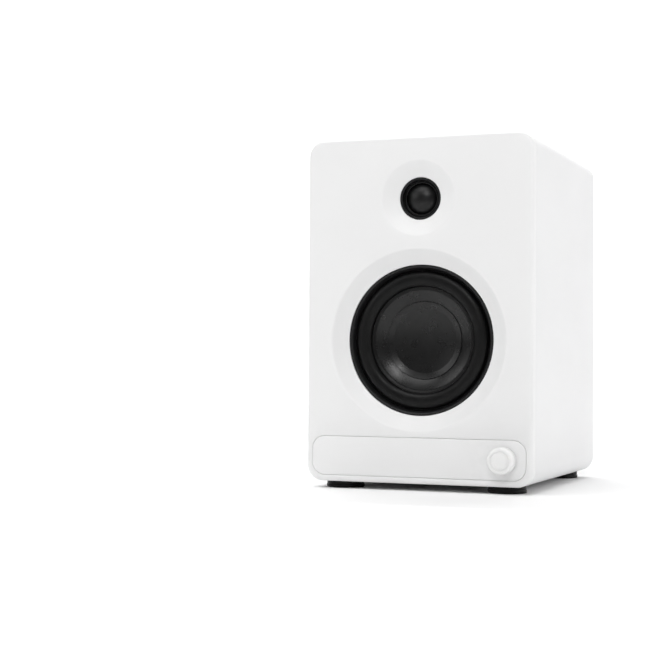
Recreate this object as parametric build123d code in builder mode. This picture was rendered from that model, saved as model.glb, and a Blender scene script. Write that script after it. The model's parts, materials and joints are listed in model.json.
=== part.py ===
from build123d import *

import math
import os

# Powered bookshelf speaker, millimetres. +Z is up and the front faces -Y.
# The origin is on the surface it stands on, under the middle of its overall box.

# ---------------------------------------------------------------- driving dimensions
# Enclosure
cabinet_width = 146.0
cabinet_height = 215.0
cabinet_depth = 175.0  # front face to the rear panel's outer face
cabinet_corner_radius = 10.0
cabinet_wall = 9.0
inner_corner_radius = 3.0
rear_edge_round = 1.5
seam_chamfer = 0.4  # each side of the seam between baffle and cabinet
panel_fit = 0.2  # clearance round a board let into the cabinet

baffle_rim = 8.0  # part of the baffle seen from the side
baffle_plug = 2.0  # step that locates it inside the cabinet
baffle_edge_round = 2.0

block_width = 12.0
block_length = 20.0
block_height = 18.0
block_chamfer = 1.0
block_inset_z = (47.0, 23.0)  # lower pair above the bottom, upper pair below the top

foot_diameter = 24.0
foot_height = 4.5
foot_spread = 106.0
foot_inset = 17.0  # foot centre from the front face and from the rear face
foot_ridge = 0.4

lining_thickness = 8.0
lining_start = 45.0  # depth behind the front face
lining_end = 140.0
lining_lift = 30.0  # lower edge above the cabinet floor

# Woofer: radii from its axis, depths behind the front face
woofer_height = 88.7  # axis above the cabinet's underside
woofer_hole_radius = 47.0
woofer_recess_flare = 9.5  # how much wider the mouth is than the hole
woofer_recess_depth = 6.3
woofer_ring_gap = 0.2
woofer_ring_width = 3.3
woofer_ring_proud = 0.3
woofer_ring_round = 0.92
woofer_lip_depth = 11.0  # front of the surround's glued lips
surround_thickness = 0.8
surround_roll_rise = 4.2
surround_seat_width = 3.6
surround_roll_width = 10.0
cone_lip_width = 1.8
cone_thickness = 0.5
former_stand = 0.6  # former's edge in front of the cone's neck
glue_gap = 0.05
cap_gap = 0.2
cap_lip = (1.5, 0.9)  # the cap's back edge, in from its rim and behind it
cap_radius = 24.5
cap_depth = 14.7  # of the circle where the cap meets the cone
cap_dish = 5.2
former_radius = 12.8
former_wall = 0.3
former_start = 24.6
former_end = 45.0
coil_thickness = 0.6
coil_start = 36.0
coil_end = 44.0
woofer_gap = 0.5  # free space each side of the moving coil
flange_overlap = 4.5  # of the basket on the baffle, outside the hole
flange_thickness = 3.6
flange_ear_radius = 5.0
flange_screw_reach = 5.5  # screw centres outside the hole
basket_wall = 1.6
basket_step = 0.6
basket_legs = 6
spider_landing_depth = 29.4
spider_landing_inner = 30.5
spider_landing_outer = 36.5
spider_thickness = 0.5
spider_wave = 0.8
spider_waves = 6
spider_collar = 2.5
basket_floor_depth = 38.0
plate_radius = 33.0
plate_thickness = 4.0
magnet_radius = 34.5
magnet_bore = 16.0
magnet_thickness = 12.0
yoke_thickness = 4.5
yoke_chamfer = 1.0

window_reach = 20.0
window_width = 26.0
strip_width = 26.0
strip_thickness = 1.6
strip_depth = 8.0
tab_width = 2.8
tab_thickness = 0.8
tab_length = 5.0
tab_spacing = 18.0

# Tweeter
mouth_gap = 8.0  # flat face left between the woofer's mouth and the tweeter's
tweeter_recess_radius = 23.5
tweeter_recess_depth = 5.0
tweeter_hole_radius = 13.3
tweeter_nose_gap = 0.2
tweeter_nose_proud = 0.2
tweeter_mouth_radius = 11.8
tweeter_mouth_chamfer = 0.5
tweeter_lip = 0.9  # width of the ledge the surround is glued to
tweeter_roll = (0.5, 0.4)  # rise of the surround's front and back
tweeter_roll_gap = 0.1
tweeter_flange_radius = 20.0
tweeter_flange_thickness = 2.5
tweeter_screw_circle = 17.2
dome_radius = 9.8
dome_base_depth = 8.6
dome_rise = 4.3
dome_wall = 0.3
dome_skirt_end = 13.2
tweeter_coil_thickness = 0.3
tweeter_gap = 0.45
pole_plate_thickness = 2.0
tweeter_motor_depth = 10.8
tweeter_magnet_thickness = 4.0
cup_wall = 3.8
cup_floor = 3.0
tweeter_tab_spacing = 10.0
dish_bow = 0.12  # how far the dished mouths bow back, as a share of their depth

# Control panel and knob
panel_margin = 4.0  # white border at each end of the trim panel
panel_height = 24.3
panel_corner_radius = 8.0
panel_thickness = 3.0
panel_groove = 0.3
panel_chamfer = 0.5
knob_diameter = 16.4
knob_protrusion = 8.5
knob_from_panel_end = 14.0
knob_press_travel = 0.5
knob_gap = 0.9
knob_chamfer = 1.2
knob_face_diameter = 11.6
knob_face_groove = 0.35
knob_wall = 1.6
shaft_diameter = 6.0
shaft_flat = 1.5  # flat's distance from the axis
running_clearance = 0.05
bushing_radius = 3.6
bushing_clearance = 0.3
encoder_size = 12.4
encoder_depth = 6.6
encoder_wall = 1.0
rotor_radius = 4.5
rotor_gaps = (1.0, 1.2)  # in front of the rotor and behind it
rotor_cavity_gap = 0.5
shaft_end_gap = 0.4
knob_hub_length = 3.2
control_wall = 3.2  # baffle left between the trim panel and the encoder
control_board_length = 38.0
control_board_height = 13.0
control_board_gap = 0.65  # under the control board, to the cabinet floor
control_board_overhang = 0.4  # past the encoder
control_screw_inset = (0.0, 15.0)  # bosses' edges from the board's far end
header_reach = 8.0
board_thickness = 1.6
boss_radius = 3.2
bushing_front = 1.2

# Rear
amp_plate_width = 112.0
amp_plate_height = 96.0
amp_plate_thickness = 2.0
amp_plate_margin = 8.0  # overlap of the plate on the rear panel
amp_plate_lift = 6.0  # above the cabinet floor
amp_plate_corner = 4.0
spacer_length = 20.0
spacer_radius = 3.2
spacer_inset = 1.0  # board left outside a spacer
amp_board_width = 88.0
amp_board_height = 72.0
rca_diameter = 8.3
rca_length = 9.5
rca_wall = 0.9
rca_root_radius = 3.9
rca_neck = 0.5  # root seen between the plate and the shell's full width
rca_pin_bore = 3.3
rca_spacing = 16.0
rca_body = 11.0
rca_body_depth = 12.0
rca_insert_sink = 1.0
rca_insert_floor = 1.0
solder_tab = (1.0, 3.0)
rca_rise = 20.0
aux_nose = 2.6
aux_nose_radius = 3.0
aux_body = (9.0, 10.0)
aux_drop = 14.0
aux_bore = 3.6
aux_length = 14.0
aux_floor = 1.5
socket_column_x = 38.0
switch_column_x = -33.0
terminal_width = 36.0
terminal_height = 26.0
terminal_depth = 8.0
terminal_corner = 1.5
terminal_edge_round = 0.8
lever_width = 10.4
lever_gap = 0.4
lever_spacing = 17.0
lever_pin_radius = 1.0
lever_pin_reach = 7.1
lever_pivot_sink = 4.0  # pivot behind the block's face
lever_pivot_z = -3.5
lever_hub_radius = 2.3
lever_length = 9.8
lever_proud = 1.3
thumb_height = 3.2
lever_pocket_z = 0.75
lever_pocket_height = 15.5
lever_pocket_back = 1.3  # the pocket's floor below the plate's outer face
terminal_root = (30.0, 18.0)
terminal_root_depth = 10.0
terminal_spot_x = 3.0
terminal_rise = 14.0
wire_hole_drop = 10.2
wire_hole_diameter = 3.2
rocker_width = 10.0
rocker_length = 17.0
rocker_gap = 0.5
rocker_tilt = 8.0
rocker_rise = 2.8
rocker_valley = 1.2
rocker_root = 4.0
rocker_root_share = 0.55  # root's length as a share of the rocker's
rocker_pivot_proud = 1.2  # pivot outside the plate's outer face
rocker_pin_radius = 1.0
rocker_pin_reach = 6.2
switch_flange = (15.0, 22.0)
switch_flange_thickness = 2.0
switch_body = (12.8, 19.4)
switch_body_depth = 12.0
switch_floor = 4.0
switch_tab = (4.0, 0.8)
switch_tab_spacing = 8.0
switch_rise = 16.0  # above the plate's middle
inlet_flange = (27.0, 17.0)
inlet_body = (23.0, 13.0)
inlet_recess = (18.6, 9.4)
inlet_recess_depth = 13.0
inlet_pin_spacing = 8.6
inlet_pin_diameter = 2.4
inlet_pin_length = 7.0
inlet_pin_round = 0.84
inlet_flange_thickness = 2.0
inlet_floor = 2.0
inlet_drop = 15.0
port_bore = 28.0
port_wall = 2.5
port_length = 90.0
port_mouth_radius = 21.0
port_flange_radius = 25.0
port_flange_thickness = 2.0
port_flare = 8.0
port_from_top = 43.0
port_neck_radius = 20.0
port_flare_radius = 9.0

# On the amplifier board, offsets from the middle of the plate
sink_offset = (-20.0, 12.0)
sink_size = 26.0
sink_base = 3.0
sink_depth = 20.0
sink_fin = 1.4
sink_fins = 6
transformer_offset = (20.0, 14.0)
transformer_width = 26.0
transformer_height = 14.0
transformer_depth = 24.0
winding_gap = 0.3
winding_fit = 0.1  # winding's clearance round the middle limb, each side
capacitor_offsets = ((30.0, -20.0), (12.0, -20.0))
capacitor_radius = 7.5
capacitor_height = 25.0
capacitor_round = 0.8
connector_offsets = ((-30.0, -22.0), (-14.0, -22.0), (-4.0, -31.0))
connector_width = 7.5
connector_thickness = 5.0
connector_height = 6.0
wire_pitch = 3.0
cable_diameter = 2.6

# Fasteners and small clearances
screw_clearance = 0.05
small_screw = {"shank": 1.5, "head": 2.8, "height": 1.8}
long_screw = {"shank": 1.75, "head": 3.4, "height": 2.2}
tiny_screw = {"shank": 1.0, "head": 1.9, "height": 1.3}
slot_share = 1.1  # cross slot's length as a share of the head's radius
slot_aspect = 0.22
slot_depth_share = 0.55
head_round_share = 0.4
wood_bite = 6.0  # thread length of a screw in a thick board
driver_bite = 4.4  # thread length of a screw in the baffle behind a dished mouth
lead_diameter = 1.8
fine_chamfer = 0.25
flange_chamfer = 0.4
grip_round = 0.5
sheet_chamfer = 0.6

# ---------------------------------------------------------------- derived places
rear_projection = amp_plate_thickness + rca_length
overall_depth = knob_protrusion + cabinet_depth + rear_projection
front_y = knob_protrusion - overall_depth / 2
bottom_z = foot_height
top_z = bottom_z + cabinet_height
middle_z = bottom_z + cabinet_height / 2
inner_width = cabinet_width - 2 * cabinet_wall
inner_height = cabinet_height - 2 * cabinet_wall
floor_z = bottom_z + cabinet_wall
ceiling_z = top_z - cabinet_wall
baffle_back = baffle_rim + baffle_plug
plug_width = inner_width - 2 * panel_fit
plug_height = inner_height - 2 * panel_fit
rear_panel_front = cabinet_depth - cabinet_wall

woofer_recess_radius = woofer_hole_radius + woofer_recess_flare
lip_outer = woofer_hole_radius - woofer_ring_gap
surround_roll_outer = lip_outer - surround_seat_width
surround_roll_inner = surround_roll_outer - surround_roll_width
cone_lip_inner = surround_roll_inner - cone_lip_width
flange_radius = woofer_hole_radius + flange_overlap
flange_screw_circle = woofer_hole_radius + flange_screw_reach

woofer_z = bottom_z + woofer_height
tweeter_z = woofer_z + woofer_recess_radius + mouth_gap + tweeter_recess_radius
woofer_axis = Axis((0, front_y, woofer_z), (0, 1, 0))
tweeter_axis = Axis((0, front_y, tweeter_z), (0, 1, 0))

panel_width = cabinet_width - 2 * panel_margin
panel_z = floor_z + control_board_gap + control_board_height / 2
pocket_width = panel_width + 2 * panel_groove
pocket_height = panel_height + 2 * panel_groove
knob_x = panel_width / 2 - knob_from_panel_end
encoder_front = panel_thickness + control_wall
encoder_back = encoder_front + encoder_depth

plate_front = cabinet_depth
plate_back = cabinet_depth + amp_plate_thickness
plate_z = floor_z + amp_plate_lift + amp_plate_height / 2
board_back = plate_front - spacer_length
board_front = board_back - board_thickness
port_z = top_z - port_from_top
port_axis = Axis((0, front_y, port_z), (0, 1, 0))
port_back = cabinet_depth + port_flange_thickness
lever_pocket_floor = plate_back - lever_pocket_back


def on_plate(offset):
    """(x, z) of a point given by its offset from the middle of the amplifier plate."""
    return (offset[0], plate_z + offset[1])


rca_spots = [on_plate((socket_column_x, rca_rise - step * rca_spacing)) for step in (0, 1)]
aux_spot = on_plate((socket_column_x, -aux_drop))
terminal_spot = on_plate((terminal_spot_x, terminal_rise))
switch_spot = on_plate((switch_column_x, switch_rise))
inlet_spot = on_plate((switch_column_x, -inlet_drop))
inlet_pin_spots = [(inlet_spot[0] + side * inlet_pin_spacing / 2, inlet_spot[1]) for side in (-1, 1)]
plate_screw_x = (amp_plate_width - amp_plate_margin) / 2
plate_screw_z = (amp_plate_height - amp_plate_margin) / 2
plate_screw_spots = [
    on_plate((side * plate_screw_x, level * plate_screw_z)) for side in (-1, 1) for level in (-1, 0, 1)
]
spacer_x = amp_board_width / 2 - spacer_radius - spacer_inset
spacer_z = amp_board_height / 2 - spacer_radius - spacer_inset
spacer_spots = [on_plate((side * spacer_x, level * spacer_z)) for side in (-1, 1) for level in (-1, 1)]
sink_spot = on_plate(sink_offset)
transformer_spot = on_plate(transformer_offset)
capacitor_spots = [on_plate(offset) for offset in capacitor_offsets]
connector_spots = [on_plate(offset) for offset in connector_offsets]

os.makedirs("parts", exist_ok=True)


# ---------------------------------------------------------------- helpers
def facing(depth):
    """Plane parallel to the front face and this far behind it: local x is X, local y is Z."""
    return Plane(origin=(0, front_y + depth, 0), x_dir=(1, 0, 0), z_dir=(0, -1, 0))


def half_section(center_z, center_x=0.0):
    """Plane through an axis that runs front to back: local x is the radius, local y the depth."""
    return Plane(origin=(center_x, front_y, center_z), x_dir=(1, 0, 0), z_dir=(0, 0, 1))


def side_section(center_x):
    """Plane across the object at this x: local x is the depth, local y is Z."""
    return Plane(origin=(center_x, front_y, 0), x_dir=(0, 1, 0), z_dir=(1, 0, 0))


def save(piece, name):
    """Label a finished piece and write it as one STEP file."""
    piece.part.label = name
    export_step(piece.part, f"parts/{name}.step")


def deepen(start, end, mode=Mode.ADD):
    """Extrude the pending sketch, drawn on facing(start), back to the depth end."""
    extrude(amount=start - end, mode=mode)


def polar_spots(center_z, radius, count, first_angle):
    """Points (x, z) spaced evenly on a circle about (0, center_z)."""
    angles = [math.radians(first_angle + 360 / count * i) for i in range(count)]
    return [(radius * math.cos(a), center_z + radius * math.sin(a)) for a in angles]


def pilot_holes(spots, back, length, shank):
    """Cut blind holes for screws from the depth back towards the front."""
    with BuildSketch(facing(back)) as holes:
        with Locations(*spots):
            Circle(shank + screw_clearance)
    extrude(holes.sketch, amount=length + screw_clearance, mode=Mode.SUBTRACT)


def screws(spots, seat, length, size, pointing_back=False):
    """Pan-head screws, one per (x, z) spot, whose heads sit on the depth seat."""
    way = -1 if pointing_back else 1
    slot = size["head"] * slot_share
    with BuildPart() as group:
        with BuildSketch(facing(seat)):
            with Locations(*spots):
                Circle(size["head"])
        extrude(amount=-way * size["height"])
        head_faces = group.faces().filter_by(Axis.Y).group_by(Axis.Y)[-1 if way > 0 else 0]
        fillet(head_faces.edges(), size["height"] * head_round_share)
        with BuildSketch(facing(seat + way * size["height"])):
            with Locations(*spots):
                Rectangle(slot, slot * slot_aspect)
                Rectangle(slot * slot_aspect, slot)
        extrude(amount=way * size["height"] * slot_depth_share, mode=Mode.SUBTRACT)
        with BuildSketch(facing(seat)):
            with Locations(*spots):
                Circle(size["shank"])
        extrude(amount=way * length)
    return group


def ring(start, end, outer, inner, center_z):
    """Flat ring about a front-to-back axis at x = 0."""
    with BuildPart() as piece:
        with BuildSketch(facing(start)):
            with Locations((0, center_z)):
                Circle(outer)
                if inner > 0:
                    Circle(inner, mode=Mode.SUBTRACT)
        deepen(start, end)
    return piece


def turned(points, center_z, axis):
    """Solid of revolution from a closed (radius, depth) outline of straight lines."""
    with BuildPart() as piece:
        with BuildSketch(half_section(center_z)):
            with BuildLine():
                Polyline(*points, close=True)
            make_face()
        revolve(axis=axis)
    return piece


def d_shape(radius, flat):
    """Circle with one flat, in the current sketch and location."""
    Circle(radius)
    with Locations((0, flat + radius)):
        Rectangle(2.5 * radius, 2 * radius, mode=Mode.SUBTRACT)


# ---------------------------------------------------------------- enclosure
block_spots = [
    (side * (inner_width / 2 - block_width / 2), z)
    for side in (-1, 1)
    for z in (bottom_z + block_inset_z[0], top_z - block_inset_z[1])
]
woofer_screw_spots = polar_spots(woofer_z, flange_screw_circle, 4, 45)
tweeter_screw_spots = polar_spots(tweeter_z, tweeter_screw_circle, 4, 45)
control_board_end = knob_x + encoder_size / 2 + control_board_overhang
control_board_start = control_board_end - control_board_length
control_screw_spots = [
    (control_board_start + boss_radius + along, panel_z) for along in control_screw_inset
]
header_spot = (control_screw_spots[1][0] + header_reach, panel_z)
foot_spots = [
    (side * foot_spread / 2, front_y + depth)
    for side in (-1, 1)
    for depth in (foot_inset, cabinet_depth - foot_inset)
]

with BuildPart() as cabinet_shell:
    with BuildSketch(facing(baffle_rim)):
        with Locations((0, middle_z)):
            RectangleRounded(cabinet_width, cabinet_height, cabinet_corner_radius)
    deepen(baffle_rim, cabinet_depth)
    rear_rim = cabinet_shell.faces().sort_by(Axis.Y)[-1].edges()
    fillet(rear_rim, rear_edge_round)
    front_rim = cabinet_shell.faces().sort_by(Axis.Y)[0].edges()
    chamfer(front_rim, seam_chamfer)
    with BuildSketch(facing(baffle_rim)):
        with Locations((0, middle_z)):
            RectangleRounded(inner_width, inner_height, inner_corner_radius)
    extrude(amount=-cabinet_depth, mode=Mode.SUBTRACT)
save(cabinet_shell, "cabinet_shell")

with BuildPart() as front_baffle:
    with BuildSketch(facing(0)):
        with Locations((0, middle_z)):
            RectangleRounded(cabinet_width, cabinet_height, cabinet_corner_radius)
    deepen(0, baffle_rim)
    fillet(front_baffle.faces().sort_by(Axis.Y)[0].edges(), baffle_edge_round)
    chamfer(front_baffle.faces().sort_by(Axis.Y)[-1].edges(), seam_chamfer)
    with BuildSketch(facing(baffle_rim)):
        with Locations((0, middle_z)):
            RectangleRounded(plug_width, plug_height, inner_corner_radius)
    deepen(baffle_rim, baffle_back)
    # Bosses that the control board is screwed to.
    with BuildSketch(facing(baffle_back)):
        with Locations(*control_screw_spots):
            Circle(boss_radius)
    deepen(baffle_back, encoder_back)
    # Dished mouths, with the drivers' holes at their bottom.
    for center_z, axis, mouth, depth, hole in (
        (woofer_z, woofer_axis, woofer_recess_radius, woofer_recess_depth, woofer_hole_radius),
        (tweeter_z, tweeter_axis, tweeter_recess_radius, tweeter_recess_depth, tweeter_hole_radius),
    ):
        bow = dish_bow * depth
        with BuildSketch(half_section(center_z)):
            with BuildLine():
                Polyline(
                    (hole, depth),
                    (hole, 2 * baffle_back),
                    (0, 2 * baffle_back),
                    (0, -1),
                    (mouth, -1),
                    (mouth, 0),
                )
                ThreePointArc((mouth, 0), ((mouth + hole) / 2 - bow, depth / 2 + bow), (hole, depth))
            make_face()
        revolve(axis=axis, mode=Mode.SUBTRACT)
    # Pocket for the trim panel.
    with BuildSketch(facing(0)):
        with Locations((0, panel_z)):
            RectangleRounded(pocket_width, pocket_height, panel_corner_radius + panel_groove)
    deepen(0, panel_thickness, mode=Mode.SUBTRACT)
    with BuildSketch(facing(0)):
        with Locations((0, panel_z)):
            RectangleRounded(
                pocket_width + 2 * panel_chamfer,
                pocket_height + 2 * panel_chamfer,
                panel_corner_radius + panel_groove + panel_chamfer,
            )
    extrude(amount=-panel_chamfer, taper=45, mode=Mode.SUBTRACT)
    # Seat behind the panel for the encoder, and the hole its bushing passes through.
    with BuildSketch(facing(encoder_front)):
        with Locations((knob_x, panel_z)):
            Rectangle(encoder_size + 2 * bushing_clearance, encoder_size + 2 * bushing_clearance)
    deepen(encoder_front, encoder_back, mode=Mode.SUBTRACT)
    with BuildSketch(facing(panel_thickness)):
        with Locations((knob_x, panel_z)):
            Circle(bushing_radius + bushing_clearance)
    deepen(panel_thickness, encoder_front, mode=Mode.SUBTRACT)
    # Blind holes for the screws that come in from behind.
    pilot_holes(woofer_screw_spots, baffle_back, driver_bite, small_screw["shank"])
    pilot_holes(tweeter_screw_spots, baffle_back, driver_bite, tiny_screw["shank"])
    pilot_holes(block_spots, baffle_back, wood_bite, long_screw["shank"])
    pilot_holes(control_screw_spots, encoder_back, driver_bite, tiny_screw["shank"])
save(front_baffle, "front_baffle")

with BuildPart() as fixing_blocks:
    with BuildSketch(facing(baffle_back)):
        with Locations(*block_spots):
            Rectangle(block_width, block_height)
    deepen(baffle_back, baffle_back + block_length)
    chamfer(fixing_blocks.edges().filter_by(Axis.Z), block_chamfer)
    with BuildSketch(facing(baffle_back)):
        with Locations(*block_spots):
            Circle(long_screw["shank"] + screw_clearance)
    deepen(baffle_back, baffle_back + block_length, mode=Mode.SUBTRACT)
save(fixing_blocks, "fixing_blocks")

baffle_screws = screws(block_spots, baffle_back + block_length, block_length + wood_bite, long_screw)
save(baffle_screws, "baffle_screws")

with BuildPart() as rear_panel:
    with BuildSketch(facing(rear_panel_front)):
        with Locations((0, middle_z)):
            RectangleRounded(plug_width, plug_height, inner_corner_radius)
        with Locations((0, plate_z)):
            Rectangle(
                amp_plate_width - 2 * amp_plate_margin,
                amp_plate_height - 2 * amp_plate_margin,
                mode=Mode.SUBTRACT,
            )
        with Locations((0, port_z)):
            Circle(port_neck_radius + panel_fit, mode=Mode.SUBTRACT)
        with Locations(*plate_screw_spots):
            Circle(small_screw["shank"] + screw_clearance, mode=Mode.SUBTRACT)
    deepen(rear_panel_front, cabinet_depth)
save(rear_panel, "rear_panel")

with BuildPart() as rubber_feet:
    with BuildSketch(Plane.XY):
        with Locations(*foot_spots):
            Circle(foot_diameter / 2)
    extrude(amount=foot_height)
    # A shallow step half way up, so that the upper half is a little narrower.
    with BuildSketch(Plane.XY.offset(foot_height / 2)):
        with Locations(*foot_spots):
            Circle(foot_diameter / 2 + 1)
            Circle(foot_diameter / 2 - foot_ridge, mode=Mode.SUBTRACT)
    extrude(amount=foot_height / 2, mode=Mode.SUBTRACT)
    chamfer(rubber_feet.edges().group_by(Axis.Z)[0], foot_ridge)
save(rubber_feet, "rubber_feet")

with BuildPart() as damping_lining:
    lining_width = inner_width - 2 * panel_fit
    lining_top = ceiling_z - panel_fit
    lining_bottom = floor_z + lining_lift
    lining_middle = (lining_top + lining_bottom) / 2
    with BuildSketch(facing(lining_start)):
        with Locations((0, lining_middle)):
            Rectangle(lining_width, lining_top - lining_bottom)
        with Locations((0, lining_middle - lining_thickness)):
            Rectangle(lining_width - 2 * lining_thickness, lining_top - lining_bottom, mode=Mode.SUBTRACT)
    deepen(lining_start, lining_end)
    chamfer(damping_lining.edges().filter_by(Axis.Y).group_by(Axis.Z)[-1], inner_corner_radius)
save(damping_lining, "damping_lining")

with BuildPart() as port_tube:
    with BuildSketch(half_section(port_z)):
        with BuildLine():
            bore_radius = port_bore / 2
            tube_radius = bore_radius + port_wall
            tube_start = port_back - port_length
            Polyline(
                (bore_radius, port_back - port_flare),
                (bore_radius, tube_start),
                (tube_radius, tube_start),
                (tube_radius, rear_panel_front - port_wall),
                (port_neck_radius, rear_panel_front),
                (port_neck_radius, cabinet_depth),
                (port_flange_radius, cabinet_depth),
                (port_flange_radius, port_back),
                (port_mouth_radius, port_back),
            )
            RadiusArc(
                (port_mouth_radius, port_back), (bore_radius, port_back - port_flare), -port_flare_radius
            )
        make_face()
    revolve(axis=port_axis)
save(port_tube, "port_tube")

# ---------------------------------------------------------------- woofer
lip_back = woofer_lip_depth + surround_thickness
basket_opening = surround_roll_outer - surround_thickness
wall_top = basket_opening + basket_step

with BuildPart() as woofer_basket:
    with BuildSketch(half_section(woofer_z)):
        with BuildLine():
            Polyline(
                (basket_opening, lip_back),
                (woofer_hole_radius + screw_clearance, lip_back),
                (woofer_hole_radius + screw_clearance, baffle_back),
                (flange_radius, baffle_back),
                (flange_radius, baffle_back + flange_thickness),
                (wall_top + basket_wall, baffle_back + flange_thickness),
                (spider_landing_outer, spider_landing_depth),
                (spider_landing_outer, spider_landing_depth + basket_wall),
                (spider_landing_inner + basket_wall, spider_landing_depth + basket_wall),
                (spider_landing_inner + basket_wall, basket_floor_depth),
                (magnet_bore, basket_floor_depth),
                (magnet_bore, basket_floor_depth - basket_wall),
                (spider_landing_inner, basket_floor_depth - basket_wall),
                (spider_landing_inner, spider_landing_depth),
                (spider_landing_outer - basket_wall, spider_landing_depth),
                (basket_opening, baffle_back + flange_thickness),
                close=True,
            )
        make_face()
    revolve(axis=woofer_axis)
    # Ears for the screws.
    with BuildSketch(facing(baffle_back)):
        with Locations(*woofer_screw_spots):
            Circle(flange_ear_radius)
    deepen(baffle_back, baffle_back + flange_thickness)
    # Windows between the legs.
    with BuildSketch(facing(baffle_back + flange_thickness + basket_wall)):
        with Locations((0, woofer_z)):
            with PolarLocations((wall_top + spider_landing_outer) / 2, basket_legs):
                Rectangle(window_reach, window_width)
    deepen(
        baffle_back + flange_thickness + basket_wall,
        spider_landing_depth - basket_wall,
        mode=Mode.SUBTRACT,
    )
    with BuildSketch(facing(baffle_back)):
        with Locations(*woofer_screw_spots):
            Circle(small_screw["shank"] + screw_clearance)
    deepen(baffle_back, baffle_back + flange_thickness, mode=Mode.SUBTRACT)
save(woofer_basket, "woofer_basket")

woofer_screws = screws(
    woofer_screw_spots, baffle_back + flange_thickness, flange_thickness + driver_bite, small_screw
)
save(woofer_screws, "woofer_screws")

with BuildPart() as woofer_trim_ring:
    with BuildSketch(facing(woofer_recess_depth - woofer_ring_proud)):
        with Locations((0, woofer_z)):
            Circle(lip_outer)
            Circle(lip_outer - woofer_ring_width, mode=Mode.SUBTRACT)
    deepen(woofer_recess_depth - woofer_ring_proud, woofer_lip_depth)
    fillet(woofer_trim_ring.faces().sort_by(Axis.Y)[0].edges(), woofer_ring_round)
save(woofer_trim_ring, "woofer_trim_ring")

with BuildPart() as woofer_surround:
    with BuildSketch(half_section(woofer_z)):
        with BuildLine():
            crest = woofer_lip_depth - surround_roll_rise
            crest_radius = (surround_roll_outer + surround_roll_inner) / 2
            Polyline(
                (surround_roll_outer, woofer_lip_depth),
                (lip_outer, woofer_lip_depth),
                (lip_outer, lip_back),
                (surround_roll_outer - surround_thickness, lip_back),
            )
            ThreePointArc(
                (surround_roll_outer - surround_thickness, lip_back),
                (crest_radius, crest + surround_thickness),
                (surround_roll_inner + surround_thickness, lip_back),
            )
            Polyline(
                (surround_roll_inner + surround_thickness, lip_back),
                (cone_lip_inner, lip_back),
                (cone_lip_inner, woofer_lip_depth),
                (surround_roll_inner, woofer_lip_depth),
            )
            ThreePointArc(
                (surround_roll_inner, woofer_lip_depth),
                (crest_radius, crest),
                (surround_roll_outer, woofer_lip_depth),
            )
        make_face()
    revolve(axis=woofer_axis)
save(woofer_surround, "woofer_surround")

with BuildPart() as woofer_cone:
    with BuildSketch(half_section(woofer_z)):
        with BuildLine():
            cone_front = lip_back
            cone_edge = (cone_lip_inner, cone_front)
            cone_neck = (former_radius + glue_gap, former_start + former_stand)
            cone_middle = (cap_radius + cap_gap, cap_depth + cap_gap)
            ThreePointArc(cone_edge, cone_middle, cone_neck)
            Polyline(
                cone_neck,
                (cone_neck[0], cone_neck[1] + 2 * cone_thickness),
                (cone_neck[0] + cone_thickness, cone_neck[1] + 2 * cone_thickness),
            )
            ThreePointArc(
                (cone_neck[0] + cone_thickness, cone_neck[1] + 2 * cone_thickness),
                (cone_middle[0] + cone_thickness, cone_middle[1] + 2 * cone_thickness),
                (cone_lip_inner + cone_thickness, cone_front + cone_thickness),
            )
            Polyline(
                (cone_lip_inner + cone_thickness, cone_front + cone_thickness),
                (surround_roll_inner, cone_front + cone_thickness),
                (surround_roll_inner, cone_front),
                cone_edge,
            )
        make_face()
    revolve(axis=woofer_axis)
save(woofer_cone, "woofer_cone")

with BuildPart() as woofer_dust_cap:
    with BuildSketch(half_section(woofer_z)):
        with BuildLine():
            dish_bottom = cap_depth + cap_dish
            dish_radius = (cap_radius**2 + cap_dish**2) / (2 * cap_dish)
            RadiusArc((cap_radius, cap_depth), (0, dish_bottom), -dish_radius)
            Line((0, dish_bottom), (0, dish_bottom + cone_thickness))
            cap_heel = (cap_radius - cap_lip[0], cap_depth + cap_lip[1])
            RadiusArc((0, dish_bottom + cone_thickness), cap_heel, dish_radius)
            Line(cap_heel, (cap_radius, cap_depth))
        make_face()
    revolve(axis=woofer_axis)
save(woofer_dust_cap, "woofer_dust_cap")

former_inner = former_radius - former_wall
woofer_coil_former = ring(former_start, former_end, former_radius, former_inner, woofer_z)
save(woofer_coil_former, "woofer_coil_former")

coil_outer = former_radius + coil_thickness
woofer_coil = ring(coil_start, coil_end, coil_outer, former_radius, woofer_z)
save(woofer_coil, "woofer_coil")

with BuildPart() as woofer_spider:
    spider_inner = former_radius + panel_fit
    spider_start = spider_inner + spider_collar
    spider_end = spider_landing_inner - spider_thickness
    wave = (spider_end - spider_start) / spider_waves
    spider_front = spider_landing_depth - spider_thickness
    with BuildSketch(half_section(woofer_z)):
        with BuildLine():
            for layer in (0, spider_thickness):
                level = spider_front + layer
                Line((spider_inner, level), (spider_start, level))
                for i in range(spider_waves):
                    lift = spider_wave * (1 if i % 2 else -1)
                    left = spider_start + wave * i
                    ThreePointArc((left, level), (left + wave / 2, level + lift), (left + wave, level))
                Line((spider_end, level), (spider_landing_outer - 2 * basket_wall, level))
            for radius in (spider_inner, spider_landing_outer - 2 * basket_wall):
                Line((radius, spider_front), (radius, spider_landing_depth))
        make_face()
    revolve(axis=woofer_axis)
save(woofer_spider, "woofer_spider")

plate_back_depth = basket_floor_depth + plate_thickness
magnet_back = plate_back_depth + magnet_thickness
woofer_top_plate = ring(
    basket_floor_depth, plate_back_depth, plate_radius, coil_outer + woofer_gap, woofer_z
)
save(woofer_top_plate, "woofer_top_plate")

woofer_magnet = ring(plate_back_depth, magnet_back, magnet_radius, magnet_bore, woofer_z)
save(woofer_magnet, "woofer_magnet")

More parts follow.
